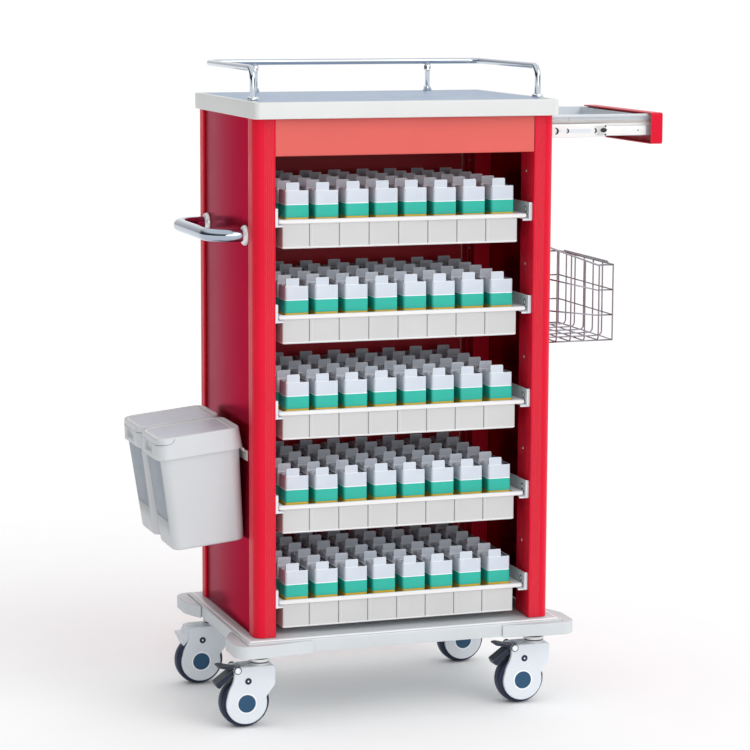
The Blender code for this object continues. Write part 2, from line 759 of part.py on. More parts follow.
def carrier(place):
    """A U of bent sheet: two side angles under the tray's rim, tied together at the back."""
    front = -BODY_HALF_Y + CARRIER_FRONT
    tie_front = TRAY_REAR_Y + RIM_FRONT + TIE_CLEAR
    ledge_top = TRAY_RIM_Z - GAP
    low, high = TRAY_RIM_Z - CARRIER_BELOW, TRAY_RIM_Z + CARRIER_ABOVE
    floor = ledge_top - SHEET
    angles = []
    for side, ledge in ((-1, LEDGE_X[0]), (1, LEDGE_X[1])):
        section = [
            (ledge, floor), (CARRIER_X + SHEET, floor), (CARRIER_X + SHEET, high),
            (CARRIER_X, high), (CARRIER_X, ledge_top), (ledge, ledge_top),
        ]
        outline = mirrored(section, flip_x=side < 0)
        angles.append(extrusion(f"angle_{side}", outline, front, tie_front + SHEET, "Y"))
    frame, other = angles
    boolean(frame, hide(other, place), "UNION")
    tie = block(
        "tie",
        (-LEDGE_X[0] - 2 * OVERLAP, tie_front, floor + OVERLAP / 2),
        (LEDGE_X[1] + 2 * OVERLAP, tie_front + SHEET + OVERLAP, high - TIE_DROP),
    )
    boolean(frame, hide(tie, place), "UNION")
    for side in (-1, 1):
        near, far = sorted((side * (CARRIER_X + SHEET / 2), side * FLANGE_X))
        tab = block(
            f"tab_{side}", (near, front - OVERLAP, low), (far, front + SHEET, high + OVERLAP)
        )
        boolean(frame, hide(tab, place), "UNION")
    return frame


# ---------------------------------------------------------------- shelf


def channel(side, across, heights):
    """C section in (y, z): an upright web with its two edges turned in towards the pan."""
    (web, lip), (low, high) = across, heights
    sheet = SLIDE_SHEET
    points = [
        (web, low), (web, high), (lip, high), (lip, high - sheet),
        (web - sheet, high - sheet), (web - sheet, low + sheet), (lip, low + sheet), (lip, low),
    ]
    return mirrored(points, flip_x=side < 0)


def shelf():
    """The pull-out shelf: a pan with a trough of sheet across its end, on telescopic slides."""
    slide = empty("shelf_slide", (FASCIA_INNER_X, 0, SLIDE_Z), CART)
    to_slide = Matrix.Translation((-FASCIA_INNER_X, 0, -SLIDE_Z))
    low, high = PAN_Z
    reach, rail_low, rail_high = INNER_MEMBER
    rail_low, rail_high = SLIDE_Z + rail_low, SLIDE_Z + rail_high
    rail_y, lip_y, lip_low = PAN_HALF_Y + reach, PAN_HALF_Y + PAN_LIP, high - PAN_LIP_TALL
    right = [
        (PAN_HALF_Y, low), (PAN_HALF_Y, rail_low), (rail_y, rail_low), (rail_y, rail_high),
        (PAN_HALF_Y, rail_high), (PAN_HALF_Y, lip_low), (lip_y, lip_low), (lip_y, high),
    ]
    end_x = SHELF_OUTER_X - SHEET - GAP
    pan = extrusion("pan", right + mirrored(right, flip_x=True), PAN_START_X, end_x, "X")
    for part, start, end in (
        ("well", PAN_START_X + SHEET, DIVIDER_X),
        ("end", DIVIDER_X + SHEET, end_x + OVERCUT),
    ):
        hollow = block(
            f"pan_{part}",
            (start, -PAN_HALF_Y + SHEET, low + SHEET),
            (end, PAN_HALF_Y - SHEET, high + OVERCUT),
        )
        hollow.data.transform(to_slide)
        boolean(pan, hide(hollow, slide), "DIFFERENCE")
    pan.data.transform(to_slide)
    link(pan, "shelf_pan", "steel_sheet", slide)

    trough = block(
        "fascia",
        (FASCIA_INNER_X, -FASCIA_HALF_Y, FASCIA_Z[0]),
        (SHELF_OUTER_X, FASCIA_HALF_Y, FASCIA_Z[1]),
    )
    bevel(trough, FASCIA_EDGE)
    hollow = block(
        "fascia_hollow",
        (FASCIA_INNER_X - OVERCUT, -FASCIA_HALF_Y + SHEET, FASCIA_Z[0] + SHEET),
        (SHELF_OUTER_X - SHEET, FASCIA_HALF_Y - SHEET, FASCIA_Z[1] - SHEET),
    )
    boolean(trough, hide(hollow, slide), "DIFFERENCE")
    for piece in (trough, hollow):
        piece.data.transform(to_slide)
    link(trough, "shelf_fascia", "red_powder_coat", slide)

    start, end = MIDDLE_MEMBER_X
    middle = empty("shelf_middle_slide", (end, 0, SLIDE_Z), CART)
    for name, side in (("front", -1), ("rear", 1)):
        section = channel(side, OUTER_MEMBER_Y, OUTER_MEMBER_Z)
        member = extrusion("outer", section, *OUTER_MEMBER_X, "X")
        member.data.transform(Matrix.Translation((0, 0, SLIDE_Z)))
        link(member, f"shelf_slide_outer_{name}", "slide_steel", CART)
        section = channel(side, MIDDLE_MEMBER_Y, MIDDLE_MEMBER_Z)
        member = extrusion("middle", section, start - end, 0, "X")
        link(member, f"shelf_slide_middle_{name}", "slide_steel", middle)


# ---------------------------------------------------------------- left side


def push_handle():
    wall_x = -BODY_HALF_X + PANEL_INSET - GAP
    corners = [
        (wall_x, -HANDLE_HALF_Y, HANDLE_Z),
        (HANDLE_GRIP_X, -HANDLE_HALF_Y, HANDLE_Z),
        (HANDLE_GRIP_X, HANDLE_HALF_Y, HANDLE_Z),
        (wall_x, HANDLE_HALF_Y, HANDLE_Z),
    ]
    grip = tube("grip", bent(corners, HANDLE_BEND, 7), HANDLE_RADIUS, 5)
    link(grip, "push_handle", "chrome", CART, smooth=True)
    bore = HANDLE_RADIUS + GAP
    profile = [
        (bore, FLANGE_TALL), (bore + EDGE, FLANGE_TALL), (FLANGE_RADIUS - EDGE, FLANGE_SHOULDER[0]),
        (FLANGE_RADIUS, FLANGE_SHOULDER[1]), (FLANGE_RADIUS, 0.0), (bore, 0.0),
    ]
    for side, y in (("front", -HANDLE_HALF_Y), ("rear", HANDLE_HALF_Y)):
        flange = turned("flange", profile, 24)
        flange.rotation_euler = (0, -math.pi / 2, 0)
        flange.location = (wall_x, y, HANDLE_Z)
        link(flange, f"handle_flange_{side}", "chrome", CART, smooth=True)


def bin_radius(inset, wall=0.0):
    return BIN_ROUND - wall - BIN_TIGHTEN * inset


def bin_ring(inset, height, wall=0.0):
    """One level of the bin: a rounded rectangle, drawn with X pointing out from the cart."""
    half_length = BIN_LENGTH / 2 - inset - wall
    half_width = BIN_WIDTH / 2 - inset - wall
    middle = BIN_LENGTH / 2
    outline = rounded_rectangle(half_length, half_width, bin_radius(inset, wall), 4)
    return [(middle + x, y, height) for x, y in outline]


def loft(name, rings):
    """A closed skin over the rings, which all have as many points, capped at both ends."""
    mesh = bpy.data.meshes.new(name)
    bm = bmesh.new()
    levels = [[bm.verts.new(point) for point in ring] for ring in rings]
    for below, above in zip(levels, levels[1:]):
        for i in range(len(below)):
            j = (i + 1) % len(below)
            bm.faces.new((below[i], below[j], above[j], above[i]))
    bm.faces.new(levels[0][::-1])
    bm.faces.new(levels[-1])
    bmesh.ops.recalc_face_normals(bm, faces=bm.faces)
    bm.to_mesh(mesh)
    bm.free()
    return bpy.data.objects.new(name, mesh)


def bin_shell():
    """The bin's body from its outer bottom edge up, over the collar's mouth and down inside."""
    joint = BIN_HEIGHT - COLLAR_HEIGHT
    foot = COLLAR_STEP + joint * BIN_DRAFT
    return [
        bin_ring(foot + FOOT_ROUND[0], 0.0),
        bin_ring(foot, FOOT_ROUND[1]),
        bin_ring(COLLAR_STEP, joint),
        bin_ring(0.0, joint),
        bin_ring(COLLAR_FLARE, BIN_HEIGHT),
        bin_ring(COLLAR_FLARE, BIN_HEIGHT, MOUTH_WALL),
        bin_ring(COLLAR_FLARE, BIN_HEIGHT - MOUTH_DEPTH, MOUTH_WALL),
        bin_ring(COLLAR_STEP, joint - COLLAR_ROOT, BIN_WALL),
        bin_ring(foot, BIN_WALL + FLOOR_SLOPE, BIN_WALL),
    ]


def bins():
    """Two bins: each hangs by its collar on the rail, with a lid that hinges near the cart."""
    tilt = Matrix.Rotation(-BIN_TILT, 4, "Y") @ Matrix.Rotation(math.pi, 4, "Z")
    top = BIN_HEIGHT - LID_GAP
    for name, y in (("front", -BIN_Y), ("rear", BIN_Y)):
        lift = empty(f"bin_lift_{name}", BIN_CORNER + Vector((0, y, 0)), CART)
        lift.matrix_local = Matrix.Translation(lift.location) @ tilt
        shell = loft("bin", bin_shell())
        bridge = block(
            f"bin_bridge_{name}",
            (COLLAR_FLARE + BRIDGE_ENDS[0], -BIN_WIDTH / 2 + BRIDGE_ENDS[1], top - LID_THICK),
            (HINGE_U, BIN_WIDTH / 2 - BRIDGE_ENDS[1], top),
        )
        boolean(shell, hide(bridge, lift), "UNION")
        link(shell, f"bin_body_{name}", "bin_plastic", lift)
        hinge = empty(f"lid_hinge_{name}", (HINGE_U, 0, top), lift)
        link(bin_lid(), f"bin_lid_{name}", "bin_plastic", hinge)


def bin_lid():
    """A flat lid inside the collar's mouth, drawn from its hinge line outwards."""
    clearance = COLLAR_FLARE + MOUTH_WALL + LID_GAP
    half_width = BIN_WIDTH / 2 - clearance
    reach = BIN_LENGTH - clearance - HINGE_U
    radius = bin_radius(COLLAR_FLARE, MOUTH_WALL)
    start = LID_GAP
    outline = [(start, -half_width + LID_NOTCH), (LID_NOTCH, -half_width)]
    outline += arc((reach - radius, -half_width + radius), radius, -90, 0)
    outline += arc((reach - radius, half_width - radius), radius, 0, 90)
    outline += [(LID_NOTCH, half_width), (start, half_width - LID_NOTCH)]
    lid = extrusion("lid", outline, -LID_THICK, 0.0)
    return bevel(lid, LID_EDGE)


def bin_hanger():
    """A strip screwed to the side panel, bent out and up under both bins' collars."""
    wall_x = -BODY_HALF_X + PANEL_INSET - GAP
    step_z = HANGER_TOP - HANGER_HOOK
    section = [
        (wall_x, HANGER_TOP - HANGER_TALL), (wall_x, step_z), (HANGER_X + SHEET, step_z),
        (HANGER_X + SHEET, HANGER_TOP), (HANGER_X, HANGER_TOP), (HANGER_X, step_z - SHEET),
        (wall_x - SHEET, step_z - SHEET), (wall_x - SHEET, HANGER_TOP - HANGER_TALL),
    ]
    strip = extrusion("hanger", section, -HANGER_HALF_Y, HANGER_HALF_Y, "Y")
    link(strip, "bin_hanger_rail", "slide_steel", CART)


# ---------------------------------------------------------------- basket


def basket():
    """Cells drawn as faces and turned into wires: two ends, the outer side, the back and floor."""
    near, far = BASKET_X
    cells_x, cells_y, levels = BASKET_CELLS
    along_x = [near + (far - near) * i / cells_x for i in range(cells_x + 1)]
    along_y = [-BASKET_HALF_Y + 2 * BASKET_HALF_Y * i / cells_y for i in range(cells_y + 1)]
    mesh = bpy.data.meshes.new("basket")
    bm = bmesh.new()

    def rim(x):
        slope = (BASKET_BACK_TOP - BASKET_RIM) / (far - BASKET_FLAT - near)
        return BASKET_RIM + max(0.0, far - BASKET_FLAT - x) * slope

    def point(x, y, level):
        return bm.verts.new((x, y, BASKET_BOTTOM + (rim(x) - BASKET_BOTTOM) * level / levels))

    def wall(places):
        rows = [[point(x, y, level) for x, y in places] for level in range(levels + 1)]
        skin(rows)

    def skin(rows):
        for lower, upper in zip(rows, rows[1:]):
            for i in range(len(lower) - 1):
                bm.faces.new((lower[i], lower[i + 1], upper[i + 1], upper[i]))

    wall([(x, -BASKET_HALF_Y) for x in along_x])
    wall([(x, BASKET_HALF_Y) for x in along_x[::-1]])
    wall([(far, y) for y in along_y])
    wall([(near, y) for y in along_y[::-1]])
    skin([[point(x, y, 0) for x in along_x[::-1]] for y in along_y])
    bmesh.ops.remove_doubles(bm, verts=bm.verts, dist=0.00005)
    bmesh.ops.recalc_face_normals(bm, faces=bm.faces)
    bm.to_mesh(mesh)
    bm.free()
    obj = bpy.data.objects.new("basket", mesh)
    wires = obj.modifiers.new("wires", "WIREFRAME")
    wires.thickness = WIRE
    wires.use_even_offset = True
    wires.use_boundary = True
    wires.use_replace = True
    link(obj, "wire_basket", "chrome", CART)


# ---------------------------------------------------------------- casters


def fork_outline():
    """Side view of the housing, from the wheel's axis: a round cheek, a neck and a square top."""
    top = FORK_TOP - WHEEL_RADIUS
    points = arc((0, 0), CHEEK_RADIUS, 166, 378, 18)
    points += [(0.0585, 0.034)]
    points += arc((0.0535, top - 0.005), 0.005, 0, 90, 2)
    points += [(-0.010, top), (-0.021, top - 0.002), (-0.0255, top - 0.010)]
    points += [(-0.0245, 0.052), (-0.0290, 0.040), (-0.0365, 0.026)]
    return points


def pedal_outline():
    """Side view of the pedal from its pivot: a round hub, a level toe plate and a heel paddle."""
    points = arc((0, 0), HUB_RADIUS, -62, 140, 6)
    points += [(-0.0300, 0.0115), (-0.0375, 0.0105), (-0.0380, 0.0070), (-0.0110, 0.0015)]
    points += [(-0.0160, -0.0040), (-0.0435, -0.0235), (-0.0385, -0.0335), (-0.0330, -0.0345)]
    return points


def casters():
    for name, sx, sy in (
        ("front_left", -1, -1),
        ("front_right", 1, -1),
        ("rear_left", -1, 1),
        ("rear_right", 1, 1),
    ):
        swivel = empty(f"swivel_{name}", (sx * SWIVEL_X, sy * SWIVEL_Y, 0), CART)
        axle = empty(f"axle_{name}", (-TRAIL, 0, WHEEL_RADIUS), swivel)
        fork(name, axle, braked=sy < 0)
        wheel(name, axle)
        if sy < 0:
            pivot = empty(f"pivot_{name}", (PIVOT[0], 0, PIVOT[1]), axle)
            pedal = extrusion("pedal", pedal_outline(), -PEDAL_HALF, PEDAL_HALF, "Y")
            link(bevel(pedal, PEDAL_EDGE), f"brake_pedal_{name}", "pedal_plastic", pivot)


def fork(name, axle, braked):
    housing = extrusion("housing", fork_outline(), -FORK_HALF, FORK_HALF, "Y")
    room = PEDAL_ROOM if braked else WHEEL_ROOM
    arch = cylinder(f"arch_{name}", (0, 0, 0), WHEEL_RADIUS + room, 2 * FORK_INSIDE, "Y", 40)
    boolean(housing, hide(arch, axle), "DIFFERENCE")
    if braked:
        centre = (PIVOT[0] + NOTCH_SHIFT[0], 0, PIVOT[1] + NOTCH_SHIFT[1])
        notch = cylinder(f"notch_{name}", centre, NOTCH_RADIUS, 2 * FORK_INSIDE, "Y", 20)
        boolean(housing, hide(notch, axle), "DIFFERENCE")
    pin = cylinder(f"pin_{name}", (0, 0, 0), AXLE_RADIUS, 2 * (FORK_INSIDE + AXLE_ROOT), "Y", 16)
    boolean(housing, hide(pin, axle), "UNION")
    low, high = FORK_TOP - BEARING_ROOT, BOSS_BOTTOM - GAP
    cup = cylinder(
        f"cup_{name}",
        (TRAIL, 0, (low + high) / 2 - WHEEL_RADIUS),
        BEARING_RADIUS, high - low, "Z", 24,
    )
    boolean(housing, hide(cup, axle), "UNION")
    link(housing, f"caster_fork_{name}", "caster_plastic", axle)


def wheel(name, axle):
    """Tyre and rim, turned about the axle, with a running clearance in the bore."""
    bore = AXLE_RADIUS + RUNNING_GAP
    half = WHEEL_HALF
    profile = [
        (bore, half), (0.012, half), (0.014, half - 0.003), (0.036, half - 0.003),
        (0.038, half), (0.046, half), (WHEEL_RADIUS, half - 0.006),
    ]
    profile += [(r, -z) for r, z in profile[::-1]]
    obj = turned("wheel", profile, 28)
    obj.rotation_euler = (math.pi / 2, 0, 0)
    link(obj, f"caster_wheel_{name}", "tyre", axle, smooth=True)


clear_scene()
PARTS = new_collection("medication_cart")
TOOLS = new_collection("cutters", helper=True)
CART = empty("cart", (-CENTRE_X, 0, 0))
columns()
panels()
ceiling()
worktop()
guard_rail()
base()
bumpers()
for tray_number, tray_bottom in enumerate(TRAY_BOTTOMS, 1):
        tray(tray_number, tray_bottom)
shelf()
push_handle()
bins()
bin_hanger()
basket()
casters()
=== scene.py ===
"""The looks of the medication cart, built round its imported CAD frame.

Sizes are metres in the cart's own axes: X to the right, the open front towards -Y, Z up, floor at
Z = 0, with X = 0 and Y = 0 in the middle of the cabinet. Pieces are drawn there and then moved by
CENTRE_X, which is where the frame has the middle of the cabinet.
"""

import json
import math
import random

import bmesh
import bpy
from mathutils import Matrix, Quaternion, Vector


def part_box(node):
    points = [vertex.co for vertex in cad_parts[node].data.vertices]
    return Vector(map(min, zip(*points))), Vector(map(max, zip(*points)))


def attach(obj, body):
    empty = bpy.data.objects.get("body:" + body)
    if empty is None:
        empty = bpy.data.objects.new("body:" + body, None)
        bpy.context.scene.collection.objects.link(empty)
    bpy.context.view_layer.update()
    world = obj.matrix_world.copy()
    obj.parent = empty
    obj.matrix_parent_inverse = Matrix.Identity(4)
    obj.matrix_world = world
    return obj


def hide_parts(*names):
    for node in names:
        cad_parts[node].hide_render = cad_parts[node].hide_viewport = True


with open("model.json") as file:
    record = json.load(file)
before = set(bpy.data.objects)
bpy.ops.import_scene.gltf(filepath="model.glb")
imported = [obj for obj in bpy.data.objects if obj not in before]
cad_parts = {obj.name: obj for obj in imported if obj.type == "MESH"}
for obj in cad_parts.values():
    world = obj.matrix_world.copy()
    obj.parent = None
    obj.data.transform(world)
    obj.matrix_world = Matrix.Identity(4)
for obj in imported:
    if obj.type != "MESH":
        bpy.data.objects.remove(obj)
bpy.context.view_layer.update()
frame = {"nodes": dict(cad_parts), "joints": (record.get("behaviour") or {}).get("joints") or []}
CENTRE_X = sum(corner.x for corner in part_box("worktop")) / 2
CART = Matrix.Translation((CENTRE_X, 0, 0))

GAP = 0.0003                      # between pieces that touch
SHEET = 0.0015                    # thickness of the sheet metal
CORNERS = (
    ("front_left", -1, -1), ("front_right", 1, -1), ("rear_left", -1, 1), ("rear_right", 1, 1),
)
TRAYS = range(1, 6)


def box_of(node):
    """Lowest and highest corner of a CAD node, in the cart's own axes."""
    low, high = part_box(node)
    shift = Vector((CENTRE_X, 0, 0))
    return low - shift, high - shift


# ---------------------------------------------------------------- materials


def shader_node(nodes, kind, **values):
    """A new node with its inputs set. A space in an input's name is written as _."""
    made = nodes.new("ShaderNode" + kind)
    for name, value in values.items():
        made.inputs[name.replace("_", " ")].default_value = value
    return made


def noise(nodes, links, coords, scale, detail, stretch):
    """A noise texture in the piece's own coordinates, stretched along its axes."""
    texture = shader_node(nodes, "TexNoise", Scale=scale, Detail=detail)
    mapping = shader_node(nodes, "Mapping", Scale=stretch)
    links.new(coords.outputs["Object"], mapping.inputs["Vector"])
    links.new(mapping.outputs["Vector"], texture.inputs["Vector"])
    return texture.outputs["Fac"]


def mapped(nodes, links, value, low, high, start=0.3, end=0.7):
    """The value, spread from low to high as it runs from start to end."""
    spread = shader_node(
        nodes, "MapRange", From_Min=start, From_Max=end, To_Min=low, To_Max=high
    )
    links.new(value, spread.inputs["Value"])
    return spread.outputs["Result"]


def blended(nodes, links, factor, first, second):
    """A mix of two colours, each a socket or a plain colour."""
    mix = shader_node(nodes, "Mix")
    mix.data_type = "RGBA"
    links.new(factor, mix.inputs["Factor"])
    for socket, colour in ((mix.inputs[6], first), (mix.inputs[7], second)):
        if isinstance(colour, tuple):
            socket.default_value = (*colour, 1.0)
        else:
            links.new(colour, socket)
    return mix.outputs[2]


def edge_mask(nodes, links, radius):
    """1 on edges, from how far a rounded normal leans away from the true one."""
    soft = shader_node(nodes, "Bevel", Radius=radius)
    soft.samples = 4
    geometry = shader_node(nodes, "NewGeometry")
    lean = shader_node(nodes, "VectorMath")
    lean.operation = "DOT_PRODUCT"
    links.new(soft.outputs["Normal"], lean.inputs[0])
    links.new(geometry.outputs["Normal"], lean.inputs[1])
    return mapped(nodes, links, lean.outputs["Value"], 0.0, 1.0, 0.995, 0.9)


def finish(
    name, colour, roughness, metallic=0.0, specular=0.5, cloud=0.05, cloud_scale=9.0,
    grain=0.0, grain_scale=900.0, stretch=(1, 1, 1), edge=0.0, edge_radius=0.0012,
    tint=(1.0, 1.0, 1.0),
):
    """A painted, moulded or metal surface.

    cloud is how much the colour and the roughness vary, grain the height in metres of the fine
    relief, and edge how far edges are lighter, partly as wear and partly as a painted highlight.
    """
    made = bpy.data.materials.new("look_" + name)
    made.use_nodes = True
    made.diffuse_color = (*colour, 1.0)
    nodes, links = made.node_tree.nodes, made.node_tree.links
    shader = nodes["Principled BSDF"]
    shader.inputs["Metallic"].default_value = metallic
    shader.inputs["Specular IOR Level"].default_value = specular
    shader.inputs["Specular Tint"].default_value = (*tint, 1.0)
    coords = shader_node(nodes, "TexCoord")
    drift = noise(nodes, links, coords, cloud_scale, 4.0, stretch)
    darker = tuple(c * (1 - cloud) for c in colour)
    lighter = tuple(min(1.0, c * (1 + cloud)) for c in colour)
    tone = blended(nodes, links, mapped(nodes, links, drift, 0.0, 1.0), darker, lighter)
    # Edges lightened by the bevel mask: partly wear, partly a painted highlight along them.
    if edge:
        worn_and_highlit = tuple(c + (1 - c) * edge for c in colour)
        tone = blended(nodes, links, edge_mask(nodes, links, edge_radius), tone, worn_and_highlit)
    links.new(tone, shader.inputs["Base Color"])
    smudges = noise(nodes, links, coords, cloud_scale * 4.3, 5.0, stretch)
    gloss = mapped(nodes, links, smudges, roughness * 0.93, roughness * 1.1)
    links.new(gloss, shader.inputs["Roughness"])
    if grain:
        relief = shader_node(nodes, "Bump", Strength=0.6, Distance=grain)
        links.new(noise(nodes, links, coords, grain_scale, 2.0, stretch), relief.inputs["Height"])
        links.new(relief.outputs["Normal"], shader.inputs["Normal"])
    return made


def finishes():
    """Every finish on the cart, by name."""
    red = {"cloud": 0.05, "cloud_scale": 5.0, "grain_scale": 700.0}
    brushed = {"stretch": (0.06, 1, 1), "cloud": 0.06, "cloud_scale": 60.0}
    made = (
        finish("red_column", (0.66, 0.008, 0.03), 0.36, specular=0.3, grain=0.00006, edge=0.1,
               tint=(1.0, 0.3, 0.35), **red),
        finish("red_fascia", (0.67, 0.105, 0.09), 0.38, specular=0.4, grain=0.00006, edge=0.15,
               **red),
        finish("red_panel", (0.44, 0.014, 0.036), 0.2, 0.9, 0.1, tint=(0.55, 0.4, 0.46), **red),
        finish("red_inside", (0.56, 0.02, 0.035), 0.34, specular=0.3, grain=0.00006, **red),
        finish("white_moulded", (0.66, 0.67, 0.665), 0.34, cloud=0.02, grain=0.00002, edge=0.5),
        finish("blue_grey_mat", (0.31, 0.39, 0.51), 0.36, specular=0.08, grain=0.00002,
               grain_scale=1500.0),
        finish("grey_moulded", (0.57, 0.6, 0.62), 0.36, cloud=0.03, grain=0.00004, edge=0.3),
        finish("grey_ridge_highlight", (0.74, 0.77, 0.79), 0.3, grain=0.00003, edge=0.3),
        finish("tray_white", (0.54, 0.54, 0.54), 0.42, cloud=0.03, grain=0.00003, edge=0.3),
        finish("tray_rim_white", (0.76, 0.75, 0.755), 0.36, cloud=0.02, grain=0.00003),
        finish("tray_seam", (0.22, 0.21, 0.21), 0.6, grain=0.00003),
        # The boxes' edges are lightened fully: a painted highlight outlining them.
        finish("box_white", (0.56, 0.61, 0.68), 0.24, cloud=0.03, grain=0.00002, edge=1.0,
               edge_radius=0.0009),
        finish("box_line", (0.92, 0.93, 0.95), 0.25, cloud=0.02, grain=0.00001),
        finish("box_teal", (0.012, 0.42, 0.33), 0.24, cloud=0.06, grain=0.00002),
        finish("box_yellow", (0.7, 0.46, 0.03), 0.35, cloud=0.06, grain=0.00002),
        # Near-black for each box's shallow top recess: painted shade for the dark inside of an open box.
        finish("box_recess_shade", (0.13, 0.14, 0.17), 0.4, cloud=0.1, grain=0.00003),
        finish("box_latch", (0.008, 0.01, 0.02), 0.22, cloud=0.1, grain=0.00002),
        finish("zinc", (0.7, 0.74, 0.79), 0.32, 0.25, grain=0.00003, edge=0.4, **brushed),
        finish("slide_steel", (0.8, 0.8, 0.79), 0.32, 0.2, edge=0.5, **brushed),
        finish("slide_race", (0.5, 0.46, 0.44), 0.36, 0.2, **brushed),
        finish("pan_steel", (0.58, 0.62, 0.655), 0.36, 0.1, **brushed),
        # Near-black for holes and slots drawn as flat marks: painted shade where an opening would be.
        finish("hole_shade", (0.012, 0.01, 0.012), 0.6, cloud=0.2, grain=0.00003),
        finish("chrome", (0.55, 0.6, 0.66), 0.05, 1.0, cloud=0.02),
        finish("handle_chrome", (0.4, 0.46, 0.54), 0.06, 1.0, cloud=0.02),
        finish("basket_chrome", (0.3, 0.27, 0.31), 0.12, 1.0, cloud=0.02),
        finish("cast_chrome", (0.76, 0.78, 0.8), 0.12, 1.0, cloud=0.02),
        finish("cast_white", (0.8, 0.81, 0.82), 0.16, 0.25, cloud=0.03),
        finish("bin_grey", (0.57, 0.59, 0.61), 0.4, cloud=0.02, grain=0.00003, edge=0.25),
        finish("bin_lid", (0.5, 0.52, 0.59), 0.4, cloud=0.02, grain=0.00001),
        # Darker grey for the recess down each bin's end: painted shade in the recess.
        finish("bin_recess", (0.26, 0.3, 0.35), 0.45, cloud=0.04, grain=0.00003),
        # Dark grey for the seams, and for a painted shadow line under each bin's collar.
        finish("bin_line", (0.2, 0.21, 0.24), 0.5, grain=0.00001),
        finish("caster_housing", (0.68, 0.72, 0.765), 0.32, cloud=0.02, grain=0.00002, edge=0.5),
        finish("cap_blue", (0.02, 0.075, 0.15), 0.35, specular=0.3, grain=0.00002),
        finish("cap_ring", (0.9, 0.92, 0.94), 0.25, grain=0.00001),
        finish("tyre_navy", (0.016, 0.024, 0.056), 0.42, specular=0.3, cloud=0.12, grain=0.00006),
        finish("wheel_hub", (0.42, 0.44, 0.46), 0.35, grain=0.00003),
        finish("pedal_black", (0.016, 0.024, 0.044), 0.34, specular=0.25, cloud=0.15,
               grain=0.00005, edge=0.3),
    )
    return {material.name.removeprefix("look_"): material for material in made}


# ---------------------------------------------------------------- outlines


def arc(centre, radius, start, end, steps=8):
    """Points on a circle from start to end, in degrees."""
    angles = [math.radians(start + (end - start) * i / steps) for i in range(steps + 1)]
    return [
        (centre[0] + radius * math.cos(a), centre[1] + radius * math.sin(a)) for a in angles
    ]


def rounded(low, high, radius, steps=6):
    """A rectangle from its low corner to its high one, with round corners."""
    points = []
    for turn, (x, y) in enumerate(((1, 1), (0, 1), (0, 0), (1, 0))):
        centre = (
            (low[0] + radius, high[0] - radius)[x],
            (low[1] + radius, high[1] - radius)[y],
        )
        points += arc(centre, radius, 90 * turn, 90 * turn + 90, steps)
    return points


def centred(half_x, half_y, radius, steps=6):
    return rounded((-half_x, -half_y), (half_x, half_y), radius, steps)


def mirrored(points, flip_x=False, flip_y=False):
    turned = [(-x if flip_x else x, -y if flip_y else y) for x, y in points]
    return turned[::-1] if flip_x != flip_y else turned


def bent(points, radius, steps=8):
    """The polyline with each inner corner replaced by an arc of the radius."""
    points = [Vector((*p, 0)) if len(p) == 2 else Vector(p) for p in points]
    path = [points[0]]
    for before, corner, after in zip(points, points[1:], points[2:]):
        back = (before - corner).normalized()
        ahead = (after - corner).normalized()
        half = back.angle(ahead) / 2
        centre = corner + (back + ahead).normalized() * radius / math.sin(half)
        start = corner + back * radius / math.tan(half) - centre
        axis = start.cross(corner + ahead * radius / math.tan(half) - centre).normalized()
        sweep = math.pi - 2 * half
        path += [
            centre + Matrix.Rotation(sweep * i / steps, 3, axis) @ start
            for i in range(steps + 1)
        ]
    return path + [points[-1]]


def strip(points, thickness=SHEET, fold=0.0022):
    """Section of bent sheet metal along a flat path, with rounded folds."""
    path = bent(points, fold, 4)
    sides = ([], [])
    for i, point in enumerate(path):
        along = (path[min(i + 1, len(path) - 1)] - path[max(i - 1, 0)]).normalized()
        across = Vector((-along.y, along.x, 0)) * thickness / 2
        sides[0].append((point + across).to_2d())
        sides[1].append((point - across).to_2d())
    return [tuple(p) for p in sides[0] + sides[1][::-1]]


# ---------------------------------------------------------------- meshes


def skin(bm, rings, slots=(0,), place=Matrix(), caps=(True, True)):
    """Faces between rings of points. slots gives the material of each band, then of the top."""
    levels = [[bm.verts.new(place @ Vector(point)) for point in ring] for ring in rings]
    slots = list(slots) + [slots[-1]] * (len(rings) - len(slots))
    for slot, below, above in zip(slots, levels, levels[1:]):
        for i in range(len(below)):
            j = (i + 1) % len(below)
            bm.faces.new((below[i], below[j], above[j], above[i])).material_index = slot
    if caps[0]:
        bm.faces.new(levels[0][::-1]).material_index = slots[0]
    if caps[1]:
        bm.faces.new(levels[-1]).material_index = slots[-1]


def prism(bm, outline, low, high, axis="Z", slot=0, place=Matrix()):
    """The outline drawn along an axis: (x, y) along Z, (y, z) along X, (x, z) along Y."""
    rings = []
    for height in (low, high):
        if axis == "Z":
            rings.append([(x, y, height) for x, y in outline])
        elif axis == "X":
            rings.append([(height, y, z) for y, z in outline])
        else:
            rings.append([(x, height, z) for x, z in outline])
    skin(bm, rings, (slot,), place)


def slab(bm, low, high, slot=0):
    """A block, whose edges the piece's bevel rounds."""
    outline = [(low[0], low[1]), (high[0], low[1]), (high[0], high[1]), (low[0], high[1])]
    prism(bm, outline, low[2], high[2], slot=slot)


def turned(bm, profile, steps=40, slots=(0,), place=Matrix()):
    """A closed turned shape about Z from a profile of (radius, height) points off the axis."""
    rings = []
    for radius, height in profile:
        rings.append([
            (radius * math.cos(a), radius * math.sin(a), height)
            for a in (math.tau * i / steps for i in range(steps))
        ])
    skin(bm, rings, slots, place)


def facing(place, direction):
    """Places a turned shape with its own Z along the direction."""
    turn = Vector(direction).to_track_quat("Z", "Y").to_matrix().to_4x4()
    return Matrix.Translation(place) @ turn


